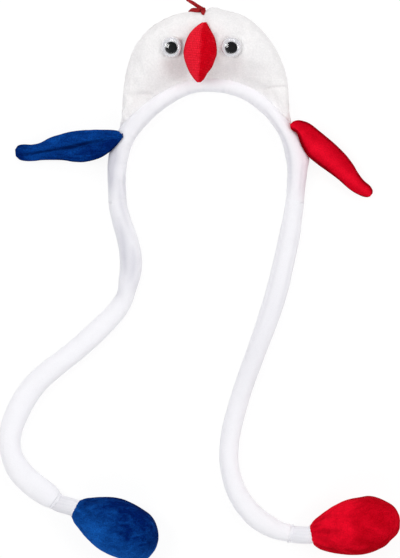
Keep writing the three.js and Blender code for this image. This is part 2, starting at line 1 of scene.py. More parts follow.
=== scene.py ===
import math
import bmesh
import bpy
import numpy as np
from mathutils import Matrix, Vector, noise


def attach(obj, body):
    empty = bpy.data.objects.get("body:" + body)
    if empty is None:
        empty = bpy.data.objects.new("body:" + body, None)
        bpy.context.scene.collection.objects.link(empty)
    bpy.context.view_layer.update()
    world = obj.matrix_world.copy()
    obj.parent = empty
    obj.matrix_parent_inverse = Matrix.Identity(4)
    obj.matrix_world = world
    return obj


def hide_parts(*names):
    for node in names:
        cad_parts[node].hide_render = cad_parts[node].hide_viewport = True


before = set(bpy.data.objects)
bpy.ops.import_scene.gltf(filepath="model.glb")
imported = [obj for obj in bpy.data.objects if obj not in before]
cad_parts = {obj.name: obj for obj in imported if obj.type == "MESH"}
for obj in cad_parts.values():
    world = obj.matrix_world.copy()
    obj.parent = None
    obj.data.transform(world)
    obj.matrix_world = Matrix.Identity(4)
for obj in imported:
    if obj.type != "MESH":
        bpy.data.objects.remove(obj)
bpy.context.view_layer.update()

# Rooster headband, lying on its back. Sizes in the dictionaries are millimetres, meshes are made in metres.
mm = 0.001
scene = bpy.context.scene
upright = np.array([[0, 0, 1.0]])


# Tables, curves and soft noise
def rows(columns, *values):  # a table, with a dictionary for each row
    names = columns.split()
    return [dict(zip(names, row)) for row in values]


def smoothColumn(table, key, name):  # a smooth curve through one column of a table
    at = np.array([row[key] for row in table], float)
    value = np.array([row[name] for row in table], float)
    slope = np.empty_like(value)
    slope[1:-1] = (value[2:] - value[:-2]) / (at[2:] - at[:-2])
    slope[0] = (value[1] - value[0]) / (at[1] - at[0])
    slope[-1] = (value[-1] - value[-2]) / (at[-1] - at[-2])

    def read(x):
        x = np.asarray(x, float)
        i = np.clip(np.searchsorted(at, x) - 1, 0, len(at) - 2)
        span = at[i + 1] - at[i]
        t = np.clip((x - at[i]) / span, 0, 1)
        start = (1 + 2 * t) * (1 - t) ** 2 * value[i] + t * (1 - t) ** 2 * span * slope[i]
        end = t * t * (3 - 2 * t) * value[i + 1] + t * t * (t - 1) * span * slope[i + 1]
        return start + end

    return read


def curves(table, key):  # such a curve for each of the other columns
    return {name: smoothColumn(table, key, name) for name in table[0] if name != key}


def smoothLine(points):  # a smooth curve through points, read by its share from 0 to 1
    count = len(points)
    p = np.array(points, float)
    p = np.vstack([2 * p[0] - p[1], p, 2 * p[-1] - p[-2]])
    gaps = np.sqrt(np.linalg.norm(np.diff(p, axis=0), axis=1))

    def read(at):
        s = np.clip(np.atleast_1d(np.asarray(at, float)), 0, 1) * (count - 1)
        i = np.minimum(s.astype(int), count - 2)
        t = (s - i)[:, None]
        a, b, c, d = p[i], p[i + 1], p[i + 2], p[i + 3]
        ga, gb, gc = gaps[i][:, None], gaps[i + 1][:, None], gaps[i + 2][:, None]
        leave = ((b - a) / ga - (c - a) / (ga + gb) + (c - b) / gb) * gb
        arrive = ((c - b) / gb - (d - b) / (gb + gc) + (d - c) / gc) * gb
        start = (2 * t**3 - 3 * t**2 + 1) * b + (t**3 - 2 * t**2 + t) * leave
        return start + (3 * t**2 - 2 * t**3) * c + (t**3 - t**2) * arrive

    return read


def unit(v):
    return v / np.linalg.norm(v, axis=-1, keepdims=True)


def headings(path):
    return unit(np.gradient(path, axis=0))


def leftOf(heading):  # level and square to the heading
    return unit(np.stack([-heading[:, 1], heading[:, 0], np.zeros(len(heading))], -1))


def walked(points):  # the length along a row of points, up to each of them
    return np.concatenate([[0], np.cumsum(np.linalg.norm(np.diff(points, axis=0), axis=1))])


def walk(line, step):  # even points along a line, their headings, and the length walked to each
    fine = line(np.linspace(0, 1, 4000))
    run = walked(fine)
    length = np.linspace(0, run[-1], int(round(run[-1] / step)) + 1)
    points = np.stack([np.interp(length, run, fine[:, k]) for k in range(3)], -1)
    return points, headings(points), length


def bunched(count):  # shares from 0 to 1, closer together at both ends
    return 0.5 - 0.5 * np.cos(np.linspace(0, math.pi, count))


def turns(sides, full=360):  # even turns round a ring
    return (np.arange(sides) / sides * full)[None, :]


def hill(x, width):
    return np.exp(-((x / width) ** 2))


def turnAway(turn, middle):  # degrees between two turns, the short way
    return np.abs((turn - middle + 540) % 360 - 180)


def patches(table, at, turn, key):  # soft spots on a tube, each given by its place, turn, reach and spread
    found = 0
    for row in table:
        beside = hill(turnAway(turn, row["turn"]), row["spread"])
        found = found + row[key] * hill(at - row["at"], row["reach"]) * beside
    return found


def spots(table, x, y, key):  # soft round spots seen from above
    return sum(row[key] * hill(np.hypot(x - row["x"], y - row["y"]), row["wide"]) for row in table)


def creaseDepth(table, length, turn):  # long folds that run along a tube and drift round it
    deep = np.zeros(np.broadcast(length, turn).shape)
    for row in table:
        share = np.clip((length - row["start"]) / (row["end"] - row["start"]), 0, 1)
        fade = np.sin(math.pi * share) ** 0.6
        off = turnAway(turn, row["turn"] + row["drift"] * share)
        deep = deep + row["depth"] * fade * hill(off, row["width"])
    return deep


def lineAway(x, y, fold):  # distance from a fold's straight line, and how far along it
    fromX, fromY = fold["start"]
    runX, runY = fold["end"][0] - fromX, fold["end"][1] - fromY
    share = ((x - fromX) * runX + (y - fromY) * runY) / (runX**2 + runY**2)
    kept = np.clip(share, 0, 1)
    return np.hypot(x - fromX - kept * runX, y - fromY - kept * runY), share


def rimBand(inset, wide):  # 1 at an edge, 0 from this far in
    return np.clip((wide - inset) / (0.5 * wide), 0, 1)


def lumps(points, size, seed):  # smooth noise, about -1 to 1
    flat = np.asarray(points, float).reshape(-1, 3) / size + np.array([seed * 7.3, seed * 3.1, seed * 5.7])
    found = np.array([noise.noise(Vector(p)) for p in flat])
    return found.reshape(np.asarray(points).shape[:-1])


def stuffed(points, facts, seed, fineSeed):  # broad lumps with fine ones on them
    broad = facts["lump"] * lumps(points, facts["lumpSize"], seed)
    return broad + facts["fine"] * lumps(points, facts["fineSize"], fineSeed)


def ripples(length, long, seed):  # uneven puckers along a seam
    return lumps(np.stack([length / long, 0 * length, 0 * length], -1), 0.5, seed)


# Rings and meshes
def superRound(v, squareness):
    return np.sign(v) * np.abs(v) ** (2 / squareness)


def squareRing(turn, squareness, wide, high):  # half widths round a ring with soft corners
    turn = np.radians(turn)
    return superRound(np.cos(turn), squareness) * wide, superRound(np.sin(turn), squareness) * high


def sweep(path, across, up, outX, outZ):  # a row of rings along a path
    return path[:, None] + across[:, None] * outX[..., None] + up[:, None] * outZ[..., None]


def restOnFloor(rings):
    rings[..., 2] = np.maximum(rings[..., 2], 0)
    return rings


def pushOut(rings, path, far):  # moves each point away from the middle of its ring, but not into the floor
    return restOnFloor(rings + unit(rings - path[:, None]) * far[..., None])


def addMark(piece, name, values, kind="FLOAT"):
    layer = piece.data.attributes.new(name, kind, "POINT")
    layer.data.foreach_set("value" if kind == "FLOAT" else "vector", np.asarray(values, np.float32).ravel())


def newPiece(name, points, faces, weld=0):
    mesh = bpy.data.meshes.new(name)
    mesh.from_pydata((np.asarray(points, float) * mm).tolist(), [], faces)
    shape = bmesh.new()
    shape.from_mesh(mesh)
    if weld:
        bmesh.ops.remove_doubles(shape, verts=shape.verts, dist=weld * mm)
    bmesh.ops.recalc_face_normals(shape, faces=shape.faces)
    shape.to_mesh(mesh)
    shape.free()
    mesh.polygons.foreach_set("use_smooth", [True] * len(mesh.polygons))
    piece = bpy.data.objects.new(name, mesh)
    scene.collection.objects.link(piece)
    return piece


def ringFaces(count, sides, first=0):
    row = first + np.arange(count - 1)[:, None] * sides
    here = np.arange(sides)[None, :]
    after = (here + 1) % sides
    quads = np.stack([row + here, row + after, row + sides + after, row + sides + here], -1)
    return quads.reshape(-1, 4).tolist()


def rodFaces(count, sides, first):  # rings with a flat face at each end
    last = first + (count - 1) * sides
    ends = [range(first, first + sides)[::-1], range(last, last + sides)]
    return ringFaces(count, sides, first) + [list(end) for end in ends]


def skin(name, rings, crease=0, cutEnds=False, **marks):  # a closed skin over a row of rings
    count, sides = rings.shape[:2]
    points = np.vstack([rings.reshape(-1, 3), rings[0].mean(0), rings[-1].mean(0)])
    faces = ringFaces(count, sides)
    last = (count - 1) * sides
    for s in range(sides):
        faces.append((count * sides, (s + 1) % sides, s))
        faces.append((count * sides + 1, last + s, last + (s + 1) % sides))
    piece = newPiece(name, points, faces)
    # the crease mark holds painted shade, from 0 to 1
    marks["crease"] = np.clip(crease, 0, 1) + np.zeros((count, sides))
    for mark, values in marks.items():
        addMark(piece, mark, np.append(values, [0, 0]))  # the two cap points stay plain
    for cap in piece.data.polygons[last:]:
        cap.use_smooth = not cutEnds
    return piece


def layThreads(piece, across, along):  # where the weave runs on the cloth, in millimetres over and along it
    across, along = np.broadcast_arrays(across, along)
    flat = np.stack([across, along, 0 * across], -1).reshape(-1, 3) * mm
    addMark(piece, "threads", np.vstack([flat, flat[:1], flat[-1:]]), "FLOAT_VECTOR")
    return piece


stitch = dict(sides=6, lift=0.7, shares=(0, 0.08, 0.25, 0.5, 0.75, 0.92, 1),
              fat=(0.3, 0.75, 1, 1, 1, 0.75, 0.3))


def stitches(name, runs, thick):  # short threads: each run is a start, an end and the way out of the cloth
    points, faces = [], []
    for start, end, out in runs:
        along, out = unit(end - start), unit(out)
        across = np.cross(along, out)
        faces += rodFaces(len(stitch["shares"]), stitch["sides"], len(points))
        for share, fat in zip(stitch["shares"], stitch["fat"]):
            middle = start + (end - start) * share + out * thick * stitch["lift"] * math.sin(math.pi * share)
            for turn in turns(stitch["sides"], 2 * math.pi)[0]:
                points.append(middle + thick / 2 * fat * (across * math.cos(turn) + out * math.sin(turn)))
    return newPiece(name, points, faces)


# Stuffing: a cloth run on a coarse copy of a padded skin, carried over to the fine one
stuffing = dict(frames=20, quality=5, mass=0.1, tension=8, compression=8, shear=4, bending=0.1, smoothings=6)


def spreadMoves(moves, ringAt, sideAt, shape):  # coarse moves on the fine grid, rounded off
    count, sides = shape
    wrapped = np.concatenate([moves, moves[:, :1]], 1)
    sideAt = np.append(sideAt, sides)
    wide = np.empty((len(ringAt), sides, 3))
    fine = np.empty((count, sides, 3))
    for k in range(3):
        for i in range(len(ringAt)):
            wide[i, :, k] = np.interp(np.arange(sides), sideAt, wrapped[i, :, k])
        for s in range(sides):
            fine[:, s, k] = np.interp(np.arange(count), ringAt, wide[:, s, k])
    for _ in range(stuffing["smoothings"]):
        fine = (np.roll(fine, 1, 1) + 2 * fine + np.roll(fine, -1, 1)) / 4
        fine[1:-1] = (fine[:-2] + 2 * fine[1:-1] + fine[2:]) / 4
    return fine


def startCloth(trial, facts):
    cloth = trial.modifiers.new("stuffing", "CLOTH")
    cloth.collision_settings.use_collision = False
    cloth.point_cache.frame_start = 1
    cloth.point_cache.frame_end = stuffing["frames"]
    run = cloth.settings
    run.quality = stuffing["quality"]
    run.mass = stuffing["mass"]
    run.tension_stiffness = stuffing["tension"]
    run.compression_stiffness = stuffing["compression"]
    run.shear_stiffness = stuffing["shear"]
    run.bending_stiffness = stuffing["bending"]
    run.use_pressure = True
    run.uniform_pressure_force = facts["pressure"]
    run.shrink_min = -facts["slack"]
    run.vertex_group_mass = "held"
    run.effector_weights.gravity = 0


def puffOut(name, rings, held, facts):
    count, sides = rings.shape[:2]
    ringAt = np.unique(np.linspace(0, count - 1, facts["rings"]).round().astype(int))
    sideAt = np.unique(np.linspace(0, sides, facts["sides"], endpoint=False).round().astype(int))
    grid = np.ix_(ringAt, sideAt)
    trial = skin(name + "_stuffing", rings[grid])
    caps = len(ringAt) * len(sideAt) + np.arange(2)
    pins = np.append(np.nonzero(held[grid].ravel())[0], caps)
    trial.vertex_groups.new(name="held").add(pins.tolist(), 1.0, "REPLACE")
    startCloth(trial, facts)
    for step in range(1, stuffing["frames"] + 1):
        scene.frame_set(step)
    swollen = trial.evaluated_get(bpy.context.evaluated_depsgraph_get()).data
    after = np.empty(len(swollen.vertices) * 3)
    swollen.vertices.foreach_get("co", after)
    moves = after.reshape(-1, 3)[:-2].reshape(len(ringAt), len(sideAt), 3) / mm - rings[grid]
    far = np.linalg.norm(moves, axis=-1, keepdims=True)
    moves = moves * np.minimum(1, facts["cap"] / np.maximum(far, 1e-6))
    bpy.data.meshes.remove(trial.data)  # takes the trial piece along
    scene.frame_set(1)
    print("stuffed", name, "by", round(float(np.median(far)), 2), "to", round(float(far.max()), 2), "mm")
    return rings + spreadMoves(moves, ringAt, sideAt, (count, sides))


# Nodes
def plug(tree, node, **inputs):  # sets or links sockets, whose names are given without spaces
    for label, value in inputs.items():
        socket = next(s for s in node.inputs if s.enabled and s.name.replace(" ", "") == label)
        setSocket(tree, socket, value)


def setSocket(tree, socket, value):
    if isinstance(value, bpy.types.NodeSocket):
        tree.links.new(value, socket)
    else:
        socket.default_value = value


def addNode(tree, kind, fields=None, **inputs):
    node = tree.nodes.new("ShaderNode" + kind)
    for field, value in (fields or {}).items():
        setattr(node, field, value)
    plug(tree, node, **inputs)
    return node


def sums(tree, operation, *values):
    node = addNode(tree, "Math", dict(operation=operation))
    for socket, value in zip(node.inputs, values):
        setSocket(tree, socket, value)
    return node.outputs[0]


def blendColour(tree, mode, factor, first, second):
    node = addNode(tree, "Mix", dict(data_type="RGBA", blend_type=mode), Factor=factor, A=first, B=second)
    return next(s for s in node.outputs if s.enabled)


def remap(tree, value, low, high, toLow, toHigh, way="LINEAR"):
    node = addNode(tree, "MapRange", dict(interpolation_type=way), Value=value, FromMin=low, FromMax=high,
                   ToMin=toLow, ToMax=toHigh)
    return node.outputs[0]


def readMark(tree, mark):
    return addNode(tree, "Attribute", dict(attribute_name=mark)).outputs


def place(tree):
    return addNode(tree, "TexCoord").outputs["Object"]


def opaque(rgb):
    return (*rgb, 1)


def newGroup(name, inputs, outputs):
    tree = bpy.data.node_groups.new(name, "ShaderNodeTree")
    kinds = dict(f="NodeSocketFloat", c="NodeSocketColor", v="NodeSocketVector")
    for label, kind, value in inputs:
        tree.interface.new_socket(label, in_out="INPUT", socket_type=kinds[kind]).default_value = value
    for label, kind in outputs:
        tree.interface.new_socket(label, in_out="OUTPUT", socket_type=kinds[kind])
    return tree, tree.nodes.new("NodeGroupInput").outputs, tree.nodes.new("NodeGroupOutput").inputs


def startMaterial(name):
    material = bpy.data.materials.new(name)
    material.use_nodes = True
    return material, material.node_tree, material.node_tree.nodes["Principled BSDF"]


# Camera, lights and floor
studio = dict(
    imageHigh=558,
    lookAt=(-5, -219),  # the picture's middle on the table
    cameraHigh=3000, sharpHigh=15,  # one pixel is one millimetre at this height
    sensor=24, farthest=20,
    softboxes=[  # metres and watts; all but the first stay wide, so that the eyes mirror only one
        dict(name="leftSoftbox", place=(-1.15, 0.12, 2.0), size=(0.68, 1.0), watts=15),
        dict(name="rightSoftbox", place=(1.75, -0.2, 1.9), size=(1.2, 1.4), watts=16),
        dict(name="crownSoftbox", place=(0.1, 1.6, 1.9), size=(1.6, 1.0), watts=13),
        dict(name="footSoftbox", place=(0, -2.0, 1.9), size=(1.6, 1.0), watts=9),
    ],
    aim=(0, -0.2, 0.02),
    skyLight=0.6, overhead=0.06, wallTop=0.74, ceiling=0.9,  # the ceiling over the camera is dark
    floorHalf=3.0, floorDrop=0.4, floorColour=(0.9, 0.9, 0.905),
    seenColour=(0.14, 0.14, 0.14), seenGlow=0.88,  # the camera sees almost no shadow
)


def setUpCamera():
    data = bpy.data.cameras.new("camera")
    data.sensor_fit = "VERTICAL"
    data.sensor_height = studio["sensor"]
    data.lens = studio["sensor"] * (studio["cameraHigh"] - studio["sharpHigh"]) / studio["imageHigh"]
    data.clip_end = studio["farthest"]
    camera = bpy.data.objects.new("camera", data)
    camera.location = (studio["lookAt"][0] * mm, studio["lookAt"][1] * mm, studio["cameraHigh"] * mm)
    scene.collection.objects.link(camera)
    scene.camera = camera


def hangLight(box):
    data = bpy.data.lights.new(box["name"], "AREA")
    data.shape = "RECTANGLE"
    data.size, data.size_y = box["size"]
    data.energy = box["watts"]
    light = bpy.data.objects.new(box["name"], data)
    light.location = box["place"]
    light.rotation_euler = (Vector(studio["aim"]) - Vector(box["place"])).to_track_quat("-Z", "Y").to_euler()
    scene.collection.objects.link(light)


def setUpSky():
    scene.view_settings.view_transform = "Standard"
    scene.world = bpy.data.worlds.new("studioSky")
    scene.world.use_nodes = True
    tree = scene.world.node_tree
    way = addNode(tree, "SeparateXYZ", Vector=addNode(tree, "TexCoord").outputs["Generated"]).outputs["Z"]
    light = remap(tree, way, studio["wallTop"], studio["ceiling"],
                  studio["skyLight"], studio["overhead"], "SMOOTHSTEP")
    plug(tree, tree.nodes["Background"], Color=(1, 1, 1, 1), Strength=light)


def layFloor():
    half = studio["floorHalf"]
    mesh = bpy.data.meshes.new("floor")
    corners = [(-half, -half, 0), (half, -half, 0), (half, half, 0), (-half, half, 0)]
    mesh.from_pydata(corners, [], [(0, 1, 2, 3)])
    floor = bpy.data.objects.new("floor", mesh)
    floor.location.z = -studio["floorDrop"] * mm
    scene.collection.objects.link(floor)
    paper, tree, shader = startMaterial("floorPaper")
    seen = addNode(tree, "LightPath").outputs["Is Camera Ray"]
    colour = blendColour(tree, "MIX", seen, opaque(studio["floorColour"]), opaque(studio["seenColour"]))
    plug(tree, shader, BaseColor=colour, Roughness=0.95, SpecularIORLevel=0, EmissionColor=(1, 1, 1, 1),
         EmissionStrength=sums(tree, "MULTIPLY", seen, studio["seenGlow"]))
    mesh.materials.append(paper)


setUpCamera()
for box in studio["softboxes"]:
    hangLight(box)
setUpSky()
layFloor()
print("studio ready")


# Cloth: effects that the finishes share
def napGroup():  # pile that lies one way in some patches and the other way in others, shifted by painted light and shade
    tree, given, out = newGroup(
        "napMottle",
        [("Laid Colour", "c", (0.8, 0.8, 0.8, 1)), ("Brushed Colour", "c", (0.9, 0.9, 0.9, 1)),
         ("Patch Scale", "f", 60.0), ("Patch Edge", "f", 0.2), ("Stretch", "v", (1, 1, 1)),
         ("Pile Scale", "f", 900.0), ("Fleck", "f", 0.05), ("Lay", "f", 0.0)],
        [("Colour", "c"), ("Height", "f"), ("Roughness", "f")],
    )
    where = place(tree)
    pulled = addNode(tree, "VectorMath", dict(operation="MULTIPLY"))
    tree.links.new(where, pulled.inputs[0])
    tree.links.new(given["Stretch"], pulled.inputs[1])
    patch = addNode(tree, "TexNoise", Vector=pulled.outputs[0], Scale=given["Patch Scale"],
                    Detail=5.0, Roughness=0.68, Distortion=0.4).outputs["Fac"]
    low = sums(tree, "SUBTRACT", 0.5, given["Patch Edge"])
    high = sums(tree, "ADD", 0.5, given["Patch Edge"])
    brushed = remap(tree, sums(tree, "ADD", patch, given["Lay"]), low, high, 0.0, 1.0)
    grain = addNode(tree, "TexNoise", Vector=where, Scale=given["Pile Scale"], Detail=2.0).outputs["Fac"]
    tufts = addNode(tree, "TexVoronoi", dict(feature="SMOOTH_F1"), Vector=where, Scale=given["Pile Scale"])
    colour = blendColour(tree, "MIX", brushed, given["Laid Colour"], given["Brushed Colour"])
    dark = sums(tree, "SUBTRACT", 1.0, given["Fleck"])
    light = sums(tree, "ADD", 1.0, given["Fleck"])
    tone = remap(tree, grain, 0.3, 0.7, dark, light)
    pile = sums(tree, "MULTIPLY", tufts.outputs["Distance"], -0.7)
    raised = sums(tree, "MULTIPLY_ADD", grain, 0.5, pile)
    setSocket(tree, out["Colour"], addNode(tree, "HueSaturation", Value=tone, Color=colour).outputs[0])
    setSocket(tree, out["Height"], sums(tree, "MULTIPLY_ADD", patch, 0.6, raised))
    setSocket(tree, out["Roughness"], remap(tree, brushed, 0.0, 1.0, 0.96, 0.82))
    return tree


def creaseGroup():  # painted shade where the cloth is folded in or sewn down, along edges and in hollows
    tree, given, out = newGroup(
        "creaseShade",
        [("Colour", "c", (0.8, 0.8, 0.8, 1)), ("Crease", "f", 0.0),
         ("Crease Colour", "c", (0.5, 0.5, 0.5, 1)), ("Depth", "f", 1.0)],
        [("Colour", "c")],
    )
    deep = addNode(tree, "Clamp", Value=sums(tree, "MULTIPLY", given["Crease"], given["Depth"])).outputs[0]
    colour = blendColour(tree, "MULTIPLY", deep, given["Colour"], given["Crease Colour"])
    setSocket(tree, out["Colour"], colour)
    return tree


def weaveGroup():  # over and under threads, turned to lie on the bias
    tree, given, out = newGroup(
        "threadWeave",
        [("Place", "v", (0, 0, 0)), ("Thread Scale", "f", 200.0), ("Bias", "f", 0.6)],
        [("Height", "f"), ("Between", "f")],
    )
    turned = addNode(tree, "VectorRotate", dict(rotation_type="Z_AXIS"),
                     Vector=given["Place"], Angle=given["Bias"])
    over, under = (addNode(tree, "TexWave", dict(bands_direction=way), Vector=turned.outputs[0],
                           Scale=given["Thread Scale"], Distortion=0.6).outputs["Fac"] for way in "XY")
    height = sums(tree, "MULTIPLY", over, under)
    setSocket(tree, out["Height"], height)
    setSocket(tree, out["Between"], remap(tree, height, 0.0, 0.35, 1.0, 0.0))
    return tree


napMottle = napGroup()
creaseShade = creaseGroup()
threadWeave = weaveGroup()


# Cloth finishes: colours are linear, scales are per metre
# crease is the colour that painted shade turns each cloth to, creaseDepth how strong that painted shade is
pile = dict(creaseDepth=1.0, stretch=(1, 1, 1), bump=0.5, gloss=0.01, sheen=0.01, weave=None)
white = dict(pile, gloss=0.04, sheen=0.25)
blue = dict(pile, crease=(0.2, 0.25, 0.35), sheenTint=(0.1, 0.4, 1))
red = dict(pile, crease=(0.32, 0.2, 0.25), sheenTint=(1, 0.2, 0.2), pileScale=800, fleck=0.12)
cloths = dict(
    headPlush=dict(
        white, laid=(0.845, 0.83, 0.838), brushed=(0.925, 0.91, 0.912), crease=(0.6, 0.56, 0.57),
        creaseDepth=0.85, patchScale=55, patchEdge=0.22, pileScale=600, fleck=0.045,
        sheenTint=(1, 0.99, 0.98)),
    sleeveFleece=dict(
        white, laid=(0.87, 0.865, 0.90), brushed=(0.92, 0.915, 0.95), crease=(0.66, 0.66, 0.71),
        creaseDepth=0.8, patchScale=45, patchEdge=0.28, stretch=(1, 0.5, 1), pileScale=1100, fleck=0.02,
        bump=0.22, sheenTint=(0.98, 0.98, 1)),
    blueVelvet=dict(
        blue, laid=(0.0004, 0.0125, 0.11), brushed=(0.003, 0.06, 0.31), patchScale=170, patchEdge=0.21,
        stretch=(0.3, 1, 1), pileScale=800, fleck=0.34, bump=0.4),
    blueCrushed=dict(
        blue, laid=(0.0003, 0.0105, 0.10), brushed=(0.006, 0.09, 0.40), patchScale=150, patchEdge=0.32,
        stretch=(0.5, 1, 1), pileScale=900, fleck=0.3),
    redVelvet=dict(
        red, laid=(0.50, 0.0006, 0.009), brushed=(0.80, 0.004, 0.022), patchScale=90, patchEdge=0.36,
        stretch=(0.7, 0.7, 1), bump=0.4),
    redCrushed=dict(
        red, laid=(0.42, 0.0003, 0.006), brushed=(0.84, 0.0035, 0.021), patchScale=95, patchEdge=0.24,
        stretch=(0.5, 0.8, 1)),
    beakCloth=dict(
        pile, laid=(0.66, 0.0005, 0.010), brushed=(0.94, 0.017, 0.042), crease=(0.5, 0.35, 0.4),
        patchScale=210, patchEdge=0.2, pileScale=700, fleck=0.14, gloss=0.02, sheenTint=(1, 0.3, 0.3),
        weave=dict(threadScale=140, bias=0.12, relief=1.0, darken=0.65, between=(0.74, 0.4, 0.4))),
    combFelt=dict(
        pile, laid=(0.22, 0.006, 0.009), brushed=(0.46, 0.03, 0.034), crease=(0.4, 0.3, 0.3),
        patchScale=260, patchEdge=0.2, pileScale=1500, fleck=0.15, gloss=0.02, sheen=0.02,
        sheenTint=(1, 0.5, 0.5)),
)
cloths["cuffKnit"] = dict(cloths["sleeveFleece"], weave=dict(
    threadScale=260, bias=0.3, relief=0.8, darken=0.3, between=(0.82, 0.82, 0.88)))
redBounceColour = (1, 0.86, 0.89)  # painted red light that the red wing bounces onto white fleece
pileHigh = 0.8


def useGroup(tree, group, **inputs):
    return addNode(tree, "Group", dict(node_tree=group), **inputs).outputs


def clothMaterial(name, finish):
    material, tree, shader = startMaterial(name)
    # painted light and shade from the mesh's mark moves the pile towards its lighter or darker colour
    nap = useGroup(tree, napMottle, Lay=readMark(tree, "nap")["Fac"], Stretch=finish["stretch"],
                   LaidColour=opaque(finish["laid"]), BrushedColour=opaque(finish["brushed"]),
                   PatchScale=finish["patchScale"], PatchEdge=finish["patchEdge"],
                   PileScale=finish["pileScale"], Fleck=finish["fleck"])
    # painted shade: the crease mark darkens the colour towards the cloth's crease colour
    shade = useGroup(tree, creaseShade, Colour=nap["Colour"], Crease=readMark(tree, "crease")["Fac"],
                     CreaseColour=opaque(finish["crease"]), Depth=finish["creaseDepth"])
    # painted reflection: red light bounced from the wing, multiplied in by its mark
    colour = blendColour(tree, "MULTIPLY", readMark(tree, "blush")["Fac"], shade["Colour"], opaque(redBounceColour))
    height = nap["Height"]
    weave = finish["weave"]
    if weave:
        threads = useGroup(tree, threadWeave, Place=readMark(tree, "threads")["Vector"],
                           ThreadScale=weave["threadScale"], Bias=weave["bias"])
        height = sums(tree, "MULTIPLY_ADD", threads["Height"], weave["relief"], height)
        between = sums(tree, "MULTIPLY", threads["Between"], weave["darken"])
        colour = blendColour(tree, "MULTIPLY", between, colour, opaque(weave["between"]))
    bump = addNode(tree, "Bump", Strength=finish["bump"], Distance=pileHigh * mm, Height=height)
    plug(tree, shader, BaseColor=colour, Roughness=nap["Roughness"], Normal=bump.outputs[0],
         SpecularIORLevel=finish["gloss"], SheenWeight=finish["sheen"], SheenRoughness=0.5,
         SheenTint=opaque(finish["sheenTint"]))
    return material


clothOf = {name: clothMaterial(name, finish) for name, finish in cloths.items()}
print("cloth finishes ready")


def dress(piece, material, body="headband", nodes=()):
    piece.data.materials.append(material)
    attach(piece, body)
    if nodes:
        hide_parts(*nodes)
    return piece


